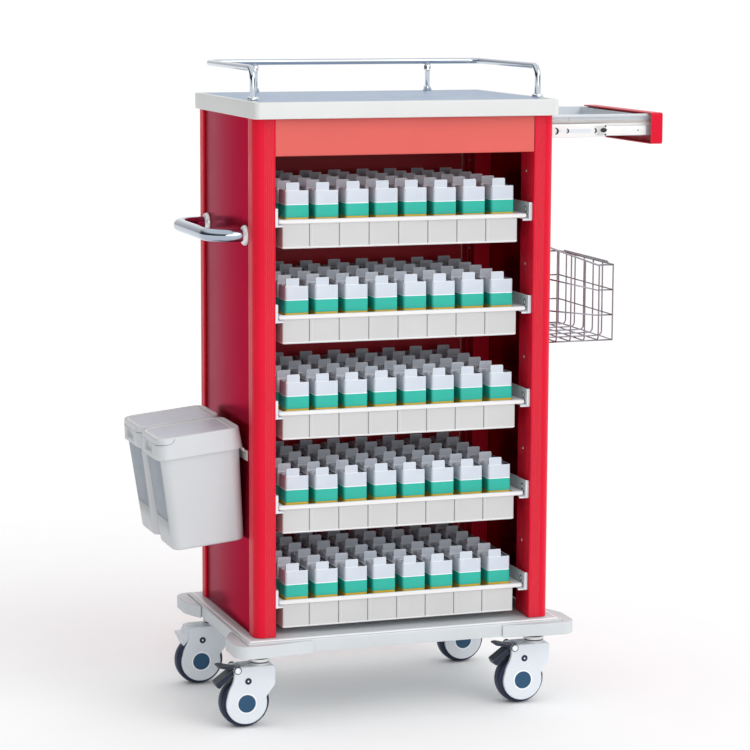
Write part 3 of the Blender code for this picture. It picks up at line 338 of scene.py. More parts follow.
def dome(bm, radius, height, place, slot=0):
    """A low domed head, such as a screw's or a rivet's."""
    curve = [(radius * math.cos(t), height * math.sin(t)) for t in
             (math.pi / 2 * i / 6 for i in range(6))]
    turned(bm, [(radius, -0.0006), *curve, (radius * 0.12, height)], 24, (slot,), place)


def add_bevel(obj, width, segments):
    step = obj.modifiers.new("edges", "BEVEL")
    step.width = width
    step.segments = segments
    step.limit_method = "ANGLE"
    step.angle_limit = math.radians(32)
    step.use_clamp_overlap = True
    step.harden_normals = True


def cut(obj, tools):
    """Takes the tools' shapes out of the piece for good, so that it moves without them."""
    for tool in tools:
        step = obj.modifiers.new("cut", "BOOLEAN")
        step.operation = "DIFFERENCE"
        step.solver = "EXACT"
        step.object = tool
    graph = bpy.context.evaluated_depsgraph_get()
    mesh = bpy.data.meshes.new_from_object(obj.evaluated_get(graph))
    obj.modifiers.clear()
    obj.data = mesh
    for tool in tools:
        bpy.data.objects.remove(tool)


def linked(name, data):
    """A new object in the scene."""
    obj = bpy.data.objects.new(name, data)
    bpy.context.scene.collection.objects.link(obj)
    return obj


def made_mesh(name, bm, looks, place=Matrix()):
    bmesh.ops.recalc_face_normals(bm, faces=bm.faces)
    mesh = bpy.data.meshes.new(name)
    bm.to_mesh(mesh)
    bm.free()
    mesh.transform(place)
    for look in looks:
        mesh.materials.append(LOOKS[look])
    obj = linked(name, mesh)
    obj.matrix_world = CART
    mesh.shade_smooth()
    return obj


def piece(
    name, bm, looks, body, nodes=(), bevel=0.0, segments=3, cutters=(), place=Matrix(),
    sharp=34,
):
    """Turns the mesh into a piece that rides on a body and stands for CAD nodes."""
    obj = made_mesh(name, bm, looks, place)
    if bevel:
        add_bevel(obj, bevel, segments)
    else:
        obj.data.set_sharp_from_angle(angle=math.radians(sharp))
    if cutters:
        cut(obj, cutters)
    return settle(obj, body, nodes)


def settle(obj, body, nodes=()):
    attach(obj, body)
    if nodes:
        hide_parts(*nodes)
    return obj


def wires(name, paths, radius, look, body, nodes=(), place=Matrix(), round_steps=6):
    """Round bars or tubes along paths of points, as one piece."""
    curve = bpy.data.curves.new(name, "CURVE")
    curve.dimensions = "3D"
    curve.bevel_depth = radius
    curve.bevel_resolution = round_steps
    curve.use_fill_caps = True
    for path, cyclic in paths:
        spline = curve.splines.new("POLY")
        spline.points.add(len(path) - 1)
        spline.use_cyclic_u = cyclic
        for point, spot in zip(spline.points, path):
            point.co = (*(place @ Vector(spot)), 1.0)
    curve.materials.append(LOOKS[look])
    obj = linked(name, curve)
    obj.matrix_world = CART
    return settle(obj, body, nodes)


def repaint(node, look):
    """A carried-over CAD node keeps its shape and gets a better material."""
    obj = frame["nodes"][node]
    obj.data.materials.clear()
    obj.data.materials.append(LOOKS[look])


# ---------------------------------------------------------------- cabinet

COLUMN_X, COLUMN_Y, COLUMN_ROUND = 0.043, 0.04, 0.019
GROOVE = 0.001                    # radius of the fine upright grooves
POST_TOP = 1.118
POST_IN_X, POST_OUT_X = 0.002, 0.005      # from the column's inner and outer faces to the post
SCREW_HEIGHT = 0.1385             # of a post's screw, from the bottom of the tray below it
SCREW_IN_Y = 0.007                # from the post's outer edge to its screws


def grooved(start, end, inward, count):
    """A straight run from start to end with half-round grooves, evenly spread."""
    start, end, inward = Vector(start), Vector(end), Vector(inward)
    along = (end - start).normalized()
    gap = (end - start).length / (count + 1)
    points = []
    for i in range(1, count + 1):
        middle = start + along * gap * i
        for step in range(5):
            t = math.pi * step / 4
            spot = middle - along * GROOVE * math.cos(t) + inward * GROOVE * math.sin(t)
            points.append(tuple(spot))
    return points


def column_outline(left, front):
    """Section of the front left column: a round outer corner and fine grooves on two faces."""
    right, back = left + COLUMN_X, front + COLUMN_Y
    lip = 0.0012
    points = arc((left + COLUMN_ROUND, front + COLUMN_ROUND), COLUMN_ROUND, 180, 270, 14)
    points += grooved((left + COLUMN_ROUND, front), (right - lip, front), (0, 1), 5)
    points += arc((right - lip, front + lip), lip, -90, 0, 3)
    points += arc((right - lip, back - lip), lip, 0, 90, 3)
    points += arc((left + lip, back - lip), lip, 90, 180, 3)
    points += grooved((left, back - lip), (left, front + COLUMN_ROUND), (1, 0), 2)
    return points


def columns():
    for name, sx, sy in CORNERS:
        node = f"column_{name}"
        low, high = box_of(node)
        left = -max(abs(low.x), abs(high.x))
        front = -max(abs(low.y), abs(high.y))
        outline = mirrored(column_outline(left, front), sx > 0, sy > 0)
        bm = bmesh.new()
        prism(bm, outline, low.z, high.z)
        piece(
            f"corner_column_{name}", bm, ["red_column"], "cart", [node],
            sharp=50,
        )
        rack_post(name, sx, sy, low, high)


def rack_post(name, sx, sy, low, high):
    """The post inside a column, with the screws that hold the tray carriers."""
    inner_x, outer_x = sorted((abs(low.x), abs(high.x)))
    inner_y = min(abs(low.y), abs(high.y))
    near_y = max(abs(low.y), abs(high.y)) - COLUMN_Y
    inner_x += POST_IN_X
    outer_x -= POST_OUT_X
    bm = bmesh.new()
    xs = sorted((sx * inner_x, sx * outer_x))
    ys = sorted((sy * inner_y, sy * near_y))
    slab(bm, (xs[0], ys[0], low.z), (xs[1], ys[1], POST_TOP))
    piece(f"rack_post_{name}", bm, ["red_column"], "cart", (), 0.0018)
    bm = bmesh.new()
    for number in TRAYS:
        bottom = box_of(f"drawer_tray_{number}")[0].z
        spot = (sx * inner_x, sy * (near_y - SCREW_IN_Y), bottom + SCREW_HEIGHT)
        if spot[2] < POST_TOP:
            dome(bm, 0.0026, 0.001, facing(spot, (-sx, 0, 0)))
    piece(f"post_screws_{name}", bm, ["cast_white"], "cart", ())


def fascia():
    """The front sheet over the trays, folded in along its top and bottom."""
    low, high = box_of("front_fascia")
    front = low.y + SHEET / 2
    path = [
        (high.y, low.z + SHEET / 2), (front, low.z + SHEET / 2),
        (front, high.z - SHEET / 2), (high.y, high.z - SHEET / 2),
    ]
    bm = bmesh.new()
    prism(bm, strip(path), low.x + 0.0006, high.x - 0.0006, "X")
    piece("front_sheet", bm, ["red_fascia"], "cart", ["front_fascia"], sharp=50)


def side_panels():
    """Side sheets whose upright edges are folded in beside the columns."""
    for side, node in ((-1, "left_side_panel"), (1, "right_side_panel")):
        low, high = box_of(node)
        outer = side * max(abs(low.x), abs(high.x))
        middle = outer - side * SHEET / 2
        fold = outer - side * 0.01
        path = [(fold, low.y + 0.001), (middle, low.y + 0.001),
                (middle, high.y - 0.001), (fold, high.y - 0.001)]
        bm = bmesh.new()
        prism(bm, strip(path, SHEET, 0.0025), low.z, high.z)
        piece(
            f"{node}_sheet", bm, ["red_panel"], "cart", [node], sharp=50
        )


def cabinet():
    columns()
    fascia()
    side_panels()
    repaint("back_panel", "red_inside")
    repaint("cabinet_ceiling", "red_inside")


# ---------------------------------------------------------------- worktop and rail


TOP_CORNER, TOP_SOFT = 0.014, 0.003
TOP_RIM, TOP_RECESS = 0.0125, 0.0028      # width of the raised rim, and depth of the recess
MAT_CORNER, MAT_SOFT = 0.01, 0.0006
PLATE_CORNER, PLATE_THICK = 0.007, 0.029
RAIL_RADIUS, RAIL_BEND = 0.0063, 0.022


def inset_rings(half, radius, levels):
    """Levels of a rounded slab, each from how far it is drawn in and its height."""
    rings = []
    for inset, height in levels:
        corner = max(radius - inset, 0.001)
        outline = centred(half[0] - inset, half[1] - inset, corner, 8)
        rings.append([(x, y, height) for x, y in outline])
    return rings


def worktop():
    """A slab with a soft upper edge and a raised rim, and the mat in its recess."""
    low, high = box_of("worktop")
    levels = [(0.0015, low.z), (0.0, low.z + 0.0015)]
    for step in range(7):
        t = math.pi / 2 * step / 6
        levels.append((TOP_SOFT * (1 - math.cos(t)), high.z - TOP_SOFT * (1 - math.sin(t))))
    levels += [
        (TOP_RIM - 0.001, high.z), (TOP_RIM - 0.0003, high.z - 0.0005),
        (TOP_RIM, high.z - TOP_RECESS),
    ]
    bm = bmesh.new()
    skin(bm, inset_rings((high.x, high.y), TOP_CORNER, levels))
    piece("worktop_slab", bm, ["white_moulded"], "cart", ["worktop"], sharp=40)
    low, high = box_of("worktop_mat")
    levels = ((0.0, low.z), (0.0, high.z - MAT_SOFT), (MAT_SOFT, high.z))
    bm = bmesh.new()
    skin(bm, inset_rings((high.x, high.y), MAT_CORNER, levels))
    piece("worktop_sheet", bm, ["blue_grey_mat"], "cart", ["worktop_mat"])


def guard_rail():
    """A U of chromed tube open to the front, with cast feet and two rear posts."""
    low, high = box_of("guard_rail")
    radius = RAIL_RADIUS
    left, right, front, rear = low.x + radius, high.x - radius, low.y + radius, high.y - radius
    top, foot = high.z - radius, low.z
    corners = [
        (left, front, foot), (left, front, top), (left, rear, top),
        (right, rear, top), (right, front, top), (right, front, foot),
    ]
    path = bent(corners, RAIL_BEND, 12)
    wires("rail_tube", [(path, False)], radius, "chrome", "cart", ["guard_rail"],
          round_steps=8)
    bm = bmesh.new()
    for x in (left, right):
        turned(bm, [
            (radius + 0.0002, 0.0), (0.0112, 0.0), (0.0115, 0.0012), (0.0112, 0.0045),
            (0.0092, 0.0062), (radius + 0.0002, 0.0066),
        ], 36, place=Matrix.Translation((x, front, foot)))
    piece("rail_feet", bm, ["cast_chrome"], "cart", (), sharp=45)
    for side in ("left", "right"):
        node = f"guard_rail_post_{side}"
        low, high = box_of(node)
        height = high.z - low.z
        bm = bmesh.new()
        place = Matrix.Translation(((low.x + high.x) / 2, (low.y + high.y) / 2, low.z))
        turned(bm, [
            (0.0085, 0.0), (0.0088, 0.001), (0.0085, 0.0075), (0.0062, 0.0095), (0.0056, 0.01),
        ], 36, place=place)
        turned(bm, [(0.0052, 0.009), (0.0052, height - 0.009)], 36, (1, 1), place)
        turned(bm, [
            (0.0056, height - 0.014), (0.0074, height - 0.0125), (0.0076, height - 0.0045),
            (0.0066, height - 0.001), (0.005, height),
        ], 36, place=place)
        piece(f"rail_post_{side}", bm, ["cast_chrome", "chrome"], "cart", [node],
              sharp=45)


# ---------------------------------------------------------------- base


def base_plate():
    """The moulded platform, with a raised ridge round its top and cups for the casters below."""
    low, high = box_of("base_plate")
    top, bottom = high.z, high.z - PLATE_THICK
    levels = (
        (0.003, bottom), (0.0007, bottom + 0.0008), (0.0, bottom + 0.003),
        (0.0, top - 0.0042), (0.0009, top - 0.0026), (0.003, top - 0.002),
        (0.0065, top - 0.002), (0.0076, top - 0.0003), (0.0084, top),
        (0.0125, top), (0.0133, top - 0.0006),
    )
    bm = bmesh.new()
    rings = inset_rings((high.x, high.y), PLATE_CORNER, levels)
    # The ridge bands (slot 1) take a lighter grey: a painted highlight along the raised ridge.
    skin(bm, rings, (0, 0, 0, 0, 0, 0, 1, 1, 1, 0, 0))
    for name, _, _ in CORNERS:
        swivel = swivel_place(name)
        turned(bm, [
            (0.0235, 0.014), (0.0235, 0.0026), (0.0215, 0.0006), (0.018, 0.0), (0.004, 0.0),
        ], 40, (0,), Matrix.Translation((swivel.x, swivel.y, low.z)))
    piece(
        "base_platform", bm, ["grey_moulded", "grey_ridge_highlight"], "cart", ["base_plate"],
        sharp=28,
    )


def bumpers():
    """L-shaped pads round the plate's corners, thinning to nothing along its sides."""
    plate = box_of("base_plate")[1]
    inner_x, inner_y = plate.x + GAP, plate.y + GAP
    for name, sx, sy in CORNERS:
        low, high = box_of(f"corner_bumper_{name}")
        outer_x, outer_y = max(abs(low.x), abs(high.x)), max(abs(low.y), abs(high.y))
        tip_x, tip_y = min(abs(low.x), abs(high.x)), min(abs(low.y), abs(high.y))
        outline = [
            (tip_x + 0.002, inner_y), (inner_x, inner_y), (inner_x, tip_y + 0.002),
            (inner_x + 0.003, tip_y), (outer_x - 0.0015, tip_y + 0.045), (outer_x, tip_y + 0.054),
        ]
        outline += arc((outer_x - 0.03, outer_y - 0.03), 0.03, 0, 90, 14)
        outline += [(tip_x + 0.092, outer_y), (tip_x + 0.08, outer_y - 0.0012)]
        outline += [(tip_x, inner_y + 0.003)]
        bm = bmesh.new()
        prism(bm, mirrored(outline, sx < 0, sy < 0), low.z, high.z)
        piece(
            f"bumper_pad_{name}", bm, ["grey_moulded"], "cart", [f"corner_bumper_{name}"],
            0.0042, 5,
        )


# ---------------------------------------------------------------- trays

TRAY_WALL = 0.0025
RIM_THICK = 0.009
RIM_FRONT = 0.004
TRAY_ROUND = 0.0026
DIVIDER_HALF = 0.0008             # half the thickness of the walls between a tray's cells
WELL_X = (-0.2475, 0.2375)        # the tray's well lies a little to the left in its rim
ROWS, COLUMNS = 6, 8
SEAM = 0.0009                     # radius of the seams between a tray's cells
SEAM_SHIFT = -0.0062              # the seams lie along the left edges of thick dividers
CARRIER_WALL_X = 0.25975
STUD_FRONT_Y, STUD_IN_Y = -0.178, 0.02    # the carriers' front studs, and the rear from the end
STUD_Z, STUD_RADIUS = 0.0215, 0.0052
TIE_HALF = 0.2485                 # half the length of the tie at the back of a carrier
LEDGE_X = {-1: 0.2482, 1: 0.2465}  # where the carriers' ledges end, left and right
BOX_SIDE, BOX_PITCH = 0.0475, 0.060625
BAND_YELLOW, BAND_TEAL, BAND_LINE, BOX_TALL = 0.0016, 0.0262, 0.0274, 0.054
TOP_DIP = 0.0038                  # how far into the box's top its ribs and latch reach
TAB_WIDE, TAB_TALL, TAB_THICK = 0.0262, 0.0152, 0.0022


def tray_ring(low, high, height, grow, seam):
    """One level of the tray, grown to its left, right and ends, with seams between its cells."""
    radius = TRAY_ROUND
    start = (low.x - grow[0], low.y - grow[2])
    end = (high.x + grow[1], high.y + grow[2])
    corners = [
        ((end[0], start[1]), (end[0], end[1]), (1, 0), ROWS),
        ((end[0], end[1]), (start[0], end[1]), (0, 1), COLUMNS),
        ((start[0], end[1]), (start[0], start[1]), (-1, 0), ROWS),
        ((start[0], start[1]), (end[0], start[1]), (0, -1), COLUMNS),
    ]
    points = []
    for first, last, outward, cells in corners:
        first, last, outward = Vector(first), Vector(last), Vector(outward)
        along = (last - first).normalized()
        length = (last - first).length
        points.append(first + along * radius)
        for i in range(1, cells):
            middle = first + along * length * i / cells
            middle.x += SEAM_SHIFT if outward.y else 0.0
            for shift, depth in ((-1.6, 0.0), (-0.6, 1.0), (0.6, 1.0), (1.6, 0.0)):
                points.append(middle + along * SEAM * shift - outward * seam * depth)
        points.append(last - along * radius)
        turn = last - along * radius - outward * radius
        for step in range(1, 4):
            t = math.pi / 2 * step / 4
            points.append(turn + outward * radius * math.cos(t) + along * radius * math.sin(t))
    return [(p.x, p.y, height) for p in points]


def tray(number):
    node = f"drawer_tray_{number}"
    low, high = box_of(node)
    bottom, top = low.z, high.z
    reach = (WELL_X[0] - low.x, high.x - WELL_X[1], RIM_FRONT)
    low = Vector((WELL_X[0], low.y + RIM_FRONT, 0))
    high = Vector((WELL_X[1], high.y - RIM_FRONT, 0))
    under = top - RIM_THICK

    def wall(grow, height, seam=0.0):
        return tray_ring(low, high, height, (grow, grow, grow), seam)

    def rim(inset, height):
        return tray_ring(low, high, height, [side - inset for side in reach], 0.0)

    rings = [
        wall(-0.0022, bottom), wall(-0.0006, bottom + 0.0008, SEAM / 2),
        wall(0.0004, bottom + 0.0024, SEAM), wall(0.0, bottom + 0.004, SEAM),
        wall(0.0, under, SEAM),
        rim(0.0012, under + 0.0006), rim(0.0, under + 0.0018), rim(0.0, top - 0.0016),
        rim(0.0012, top - 0.0004), rim(0.003, top),
        wall(-0.0012, top), wall(-TRAY_WALL, top - 0.0014), wall(-TRAY_WALL, bottom + TRAY_WALL),
    ]
    slots = (1, 1, 1, 0, 1, 1, 1, 1, 1, 1, 1, 0, 0)
    bm = bmesh.new()
    skin(bm, rings, slots)
    middle_x, middle_y = (low.x + high.x) / 2, (low.y + high.y) / 2
    for i in range(COLUMNS - 1):
        x = middle_x + (i + 1 - COLUMNS / 2) * (high.x - low.x) / COLUMNS
        seam = x + SEAM_SHIFT
        slab(bm, (seam - 0.0007, low.y + 0.0002, bottom + 0.0042),
             (seam + 0.0007, low.y + 0.0012, under - 0.0002), 2)
        slab(bm, (seam + 0.0016, low.y - 0.0002, bottom + 0.0046),
             (seam + 0.0056, low.y + 0.001, under - 0.0002), 0)
        slab(bm, (x - DIVIDER_HALF, low.y + TRAY_WALL, bottom + 0.002),
             (x + DIVIDER_HALF, high.y - TRAY_WALL, under), 0)
    for j in range(ROWS - 1):
        y = middle_y + (j + 1 - ROWS / 2) * (high.y - low.y) / ROWS
        slab(bm, (low.x + TRAY_WALL, y - DIVIDER_HALF, bottom + 0.002),
             (high.x - TRAY_WALL, y + DIVIDER_HALF, under - 0.0005), 0)
    piece(
        f"tray_shell_{number}", bm, ["tray_white", "tray_rim_white", "tray_seam"],
        f"tray_{number}", [node], sharp=32,
    )


def box_rings(x, y, floor, rim):
    """Levels of one box from the tray's floor to its recessed top, and the band of each."""
    levels = [
        (floor, 0.0, 3), (rim - 0.001, 0.0, 3), (rim + BAND_YELLOW, 0.0, 2),
        (rim + BAND_YELLOW + 0.0004, -0.0005, 2), (rim + BAND_TEAL, -0.0005, 1),
        (rim + BAND_TEAL + 0.0003, 0.0, 1), (rim + BAND_LINE, 0.0, 0),
        (rim + BOX_TALL - 0.0012, 0.0, 0), (rim + BOX_TALL - 0.0003, 0.0004, 0),
        (rim + BOX_TALL, 0.0012, 0), (rim + BOX_TALL, 0.0024, 4),
        # Band 4, the top recess, is painted shade for the open box's dark inside.
        (rim + BOX_TALL - 0.004, 0.003, 4),
    ]
    rings = []
    for height, inset, _ in levels:
        half = BOX_SIDE / 2 - inset
        outline = rounded((x - half, y - half), (x + half, y + half), 0.0046 - inset, 5)
        rings.append([(px, py, height) for px, py in outline])
    return rings, [band for _, _, band in levels]


def box_top(bm, x, y, top, lean):
    """What stands on a box: the tab at its front, two ribs across its top and the dark latch."""
    front = y - BOX_SIDE / 2 + 0.0006
    left = x - BOX_SIDE / 2 + 0.0016
    right = left + TAB_WIDE
    tall = top + TAB_TALL
    foot = 0.0016
    outline = [(left - foot, top - 0.001), (right, top - 0.001), (right, tall - 0.002)]
    outline += arc((right - 0.002, tall - 0.002), 0.002, 0, 90, 3)
    outline += arc((left + 0.0015, tall - 0.0015), 0.0015, 90, 180, 3)
    outline += [(left, top + foot), (left - foot * 0.35, top + foot * 0.35)]
    hinge = Matrix.Translation((0, front, top)) @ Matrix.Rotation(lean, 4, "X")
    place = hinge @ Matrix.Translation((0, -front, -top))
    prism(bm, outline, front, front + TAB_THICK, "Y", 0, place)
    slab(bm, (left - 0.001, front + TAB_THICK, top - TOP_DIP),
         (right, front + 0.012, top + 0.0012), 0)
    slab(bm, (right + 0.004, y - 0.004, top - TOP_DIP), (right + 0.0105, y + 0.006, top + 0.0032), 5)
    # This rib is drawn in the recess's painted-shade colour.
    slab(bm, (right + 0.0055, y - 0.012, top - TOP_DIP),
         (right + 0.0085, y + 0.014, top + 0.0016), 4)
    slab(bm, (left + 0.002, y + 0.01, top - TOP_DIP), (right + 0.002, y + 0.019, top + 0.0008), 0)


def boxes(number, chance):
    """A tray's grid of medicine boxes, each set down a little differently."""
    low, high = box_of(f"medicine_boxes_{number}")
    tray_top = box_of(f"drawer_tray_{number}")[1].z
    middle = (low + high) / 2
    bm = bmesh.new()
    for i in range(COLUMNS):
        for j in range(ROWS):
            x = middle.x + (i - (COLUMNS - 1) / 2) * BOX_PITCH + chance.uniform(-0.0018, 0.0008)
            y = middle.y + (j - (ROWS - 1) / 2) * BOX_PITCH + chance.uniform(-0.0014, 0.0014)
            rise = chance.uniform(0.0, 0.0012)
            rings, bands = box_rings(x, y, low.z, tray_top + rise)
            skin(bm, rings, bands)
            box_top(bm, x, y, tray_top + rise + BOX_TALL, math.radians(chance.uniform(-4, 2)))
    looks = ["box_white", "box_line", "box_teal", "box_yellow", "box_recess_shade", "box_latch"]
    piece(
        f"box_set_{number}", bm, looks, f"tray_{number}", [f"medicine_boxes_{number}"],
        sharp=36,
    )


def carrier(number):
    """Two angles of bent sheet under the tray's rim, tied together at the back."""
    node = f"tray_carrier_{number}"
    low, high = box_of(node)
    ledge = low.z + 0.005 - GAP - SHEET / 2
    bm = bmesh.new()
    for side in (-1, 1):
        path = [
            (side * LEDGE_X[side], ledge), (side * CARRIER_WALL_X, ledge),
            (side * CARRIER_WALL_X, high.z - 0.0005),
        ]
        prism(bm, strip(path, SHEET, 0.002), low.y + 0.002, high.y, "Y")
        xs = sorted((side * (CARRIER_WALL_X - SHEET / 2), side * high.x))
        tab = rounded((xs[0], low.z), (xs[1], high.z - 0.0005), 0.0022, 4)
        prism(bm, tab, low.y, low.y + 0.0024, "Y")
        xs = sorted((side * LEDGE_X[side], side * CARRIER_WALL_X))
        slab(bm, (xs[0], low.y + 0.002, low.z), (xs[1], low.y + 0.0035, ledge))
        inside = side * (CARRIER_WALL_X - SHEET / 2)
        # Dark rings round the studs, and the small dark dome, are painted shade standing for holes.
        collar = STUD_RADIUS + 0.0016
        for y in (STUD_FRONT_Y, high.y - STUD_IN_Y):
            spot = facing((inside, y, low.z + STUD_Z), (-side, 0, 0))
            turned(bm, [(collar, -0.0004), (collar, 0.0004), (STUD_RADIUS, 0.0005)], 28, (1,), spot)
            dome(bm, STUD_RADIUS, 0.0014, spot, 2)
        dome(bm, 0.002, 0.0008, facing((inside, -0.186, low.z + 0.012), (-side, 0, 0)), 1)
    slab(bm, (-TIE_HALF, high.y - SHEET, ledge), (TIE_HALF, high.y, high.z - 0.006))
    piece(
        f"carrier_frame_{number}", bm, ["zinc", "hole_shade", "cast_white"], "cart", [node],
        sharp=40,
    )


def trays():
    chance = random.Random(7)
    for number in TRAYS:
        tray(number)
        boxes(number, chance)
        carrier(number)


# ---------------------------------------------------------------- shelf

PAN_HALF = 0.1513                 # half the pan's width, to its outer faces
SLIDE_DEEP = 0.0072               # how far the slides' inner members stand off the pan
SLIDE_LOW, SLIDE_HIGH = 1.148, 1.1665
MEMBER_SHEET = 0.0012             # thickness of the slides' middle members
TONGUE_HALF, TONGUE_LONG = 0.0102, 0.03
PAN_DIVIDER_X = 0.5145
PAN_SEAMS_X = (0.3, 0.36)


def slotted(bm, outline, side, face, look, thick=0.0003):
    """A dark or light mark on the outer face of a slide member, from its (x, z) outline; a dark one is
    painted shade standing for a hole or slot.
    """
    low, high = sorted((side * face, side * (face + thick)))
    prism(bm, outline, low, high, "Y", look)


def disc(x, z, radius, squash=1.0, steps=20):
    """A round or wide outline, without its last point, which would be its first again."""
    points = arc((0, 0), radius, 0, 360, steps)[:-1]
    return [(x + px * squash, z + pz) for px, pz in points]


def crescent(x, z, radius):
    """A moon: the outer arc out and a flatter arc back."""
    outer = arc((x, z), radius, -100, 100, 12)
    return outer + arc((x - radius * 0.62, z), radius * 0.95, 62, -62, 10)


def shelf_pan():
    """The pull-out pan: bent sheet with a rolled lip, and its slides' inner members."""
    low, high = box_of("shelf_pan")
    half = PAN_HALF - SHEET / 2
    lip = PAN_HALF + 0.0032
    top = high.z - 0.0008
    roll = [(lip, top - 0.0052), (lip, top), (half, top)]
    path = roll + [(half, low.z + SHEET / 2), (-half, low.z + SHEET / 2)]
    path += [(-y, z) for y, z in roll[::-1]]
    bm = bmesh.new()
    prism(bm, strip(path, SHEET, 0.0014), low.x, high.x, "X", 0)
    slab(bm, (low.x, -half, low.z), (low.x + SHEET, half, top - 0.002), 0)
    slab(bm, (PAN_DIVIDER_X, -half, low.z), (PAN_DIVIDER_X + SHEET, half, top - 0.001), 0)
    for side in (-1, 1):
        band = [side * (PAN_HALF - 0.0006), side * (PAN_HALF + 0.0022)]
        prism(bm, rounded((min(band), top - 0.017), (max(band), top - 0.0125), 0.001, 3),
              low.x, high.x, "X", 2)
        ys = [side * PAN_HALF, side * (PAN_HALF + SLIDE_DEEP)]
        prism(bm, rounded((min(ys), SLIDE_LOW), (max(ys), SLIDE_HIGH), 0.0012, 3),
              low.x + 0.01, high.x - 0.03, "X", 1)
        ys = sorted((side * PAN_HALF, side * (PAN_HALF + 0.0004)))
        slab(bm, (low.x + 0.002, ys[0], 1.1672), (high.x - 0.002, ys[1], top - 0.0172), 1)
        face = PAN_HALF + SLIDE_DEEP
        slotted(bm, disc(0.48, 1.1578, 0.0046), side, face, 3)
        slotted(bm, disc(0.48, 1.1578, 0.0032), side, face + 0.0002, 1)
        slotted(bm, disc(0.497, 1.1575, 0.0022, steps=3), side, face, 3)
        # A flat near-black disc: painted shade standing for a hole.
        slotted(bm, disc(0.508, 1.1575, 0.0014), side, face, 4)
        ys = sorted((side * half, side * (half + 0.001)))
        for seam in PAN_SEAMS_X:
            slab(bm, (seam, ys[0] - 0.0004, low.z), (seam + 0.0012, ys[1] - 0.0004, top - 0.003), 2)
    piece(
        "shelf_tray", bm, ["pan_steel", "slide_steel", "slide_race", "zinc", "hole_shade"], "shelf",
        ["shelf_pan"], sharp=40,
    )


def shelf_fascia():
    """The folded trough across the shelf's end: open towards the cart, closed all round."""
    low, high = box_of("shelf_fascia")
    outer = centred(high.y, (high.z - low.z) / 2, 0.0042, 6)
    inner = centred(high.y - SHEET, (high.z - low.z) / 2 - SHEET, 0.003, 6)
    middle = (high.z + low.z) / 2

    def ring(outline, x):
        return [(x, y, z + middle) for y, z in outline]

    soft = centred(high.y - 0.0016, (high.z - low.z) / 2 - 0.0016, 0.0034, 6)
    bm = bmesh.new()
    skin(bm, [
        ring(inner, high.x - SHEET), ring(inner, low.x + 0.0003), ring(soft, low.x),
        ring(outer, low.x + 0.0008), ring(outer, high.x - 0.0016), ring(soft, high.x - 0.0003),
        ring(centred(high.y - 0.004, (high.z - low.z) / 2 - 0.004, 0.002, 6), high.x),
    ], (0, 0, 0, 0))
    piece("shelf_front", bm, ["red_column"], "shelf", ["shelf_fascia"], sharp=42)


def slide_members():
    """The two middle members, with their slots and round ends, and the outer ones inside."""
    for name, side in (("front", -1), ("rear", 1)):
        node = f"shelf_slide_middle_{name}"
        low, high = box_of(node)
        outer = max(abs(low.y), abs(high.y))
        inner = min(abs(low.y), abs(high.y))
        sheet = MEMBER_SHEET
        web = outer - sheet / 2
        path = [
            (side * inner, low.z + sheet / 2), (side * web, low.z + sheet / 2),
            (side * web, high.z - sheet / 2), (side * inner, high.z - sheet / 2),
        ]
        bm = bmesh.new()
        prism(bm, strip(path, sheet, 0.0012), low.x, high.x - 0.006, "X", 0)
        middle = (low.z + high.z) / 2
        tongue = arc((high.x - TONGUE_HALF, middle), TONGUE_HALF, -90, 90, 14) + [
            (high.x - TONGUE_LONG, middle + TONGUE_HALF),
            (high.x - TONGUE_LONG, middle - TONGUE_HALF),
        ]
        slotted(bm, tongue, side, outer - sheet, 0, sheet)
        # The slots and holes are flat near-black marks: painted shade in place of openings.
        marks = (
            crescent(0.3275, middle, 0.0068),
            crescent(0.3515, middle, 0.0048),
            crescent(0.4115, middle, 0.0048),
            disc(0.431, middle + 0.0005, 0.0045, 1.6),
            disc(0.435, middle + 0.0086, 0.0019),
            disc(0.435, middle - 0.0086, 0.0019),
        )
        for mark in marks:
            slotted(bm, mark, side, outer, 1)
        slotted(bm, rounded((0.35, middle - 0.004), (0.404, middle + 0.004), 0.0038, 6),
                side, outer, 2, 0.0002)
        slotted(bm, rounded((0.328, middle - 0.0026), (0.341, middle + 0.0026), 0.0024, 6),
                side, outer, 2, 0.0002)
        piece(
            f"slide_middle_{name}", bm, ["slide_steel", "hole_shade", "zinc"], "shelf_middle",
            [node], sharp=40,
        )
        repaint(f"shelf_slide_outer_{name}", "slide_steel")


# ---------------------------------------------------------------- left side

HANDLE_RADIUS, FLANGE_RADIUS = 0.0125, 0.02
HANDLE_BEND = 0.048


def push_handle():
    low, high = box_of("push_handle")
    grip, wall = low.x + HANDLE_RADIUS, high.x
    half = high.y - HANDLE_RADIUS
    level = (low.z + high.z) / 2
    corners = [(wall, -half, level), (grip, -half, level), (grip, half, level), (wall, half, level)]
    wires(
        "handle_tube", [(bent(corners, HANDLE_BEND, 18), False)], HANDLE_RADIUS, "handle_chrome", "cart",
        ["push_handle"], round_steps=12,
    )
    bore = HANDLE_RADIUS + 0.0002
    for name, side in (("front", -1), ("rear", 1)):
        bm = bmesh.new()
        profile = [(bore, 0.0), (FLANGE_RADIUS - 0.0006, 0.0), (FLANGE_RADIUS, 0.001)]
        profile += [
            (bore + (FLANGE_RADIUS - bore) * math.cos(t), 0.0016 + 0.0072 * math.sin(t))
            for t in (math.pi / 2 * i / 8 for i in range(9))
        ]
        rings_place = facing((wall, side * half, level), (-1, 0, 0))
        turned(bm, profile, 48, place=rings_place)
        piece(
            f"handle_rosette_{name}", bm, ["cast_white"], "cart", [f"handle_flange_{name}"],
            sharp=40,
        )


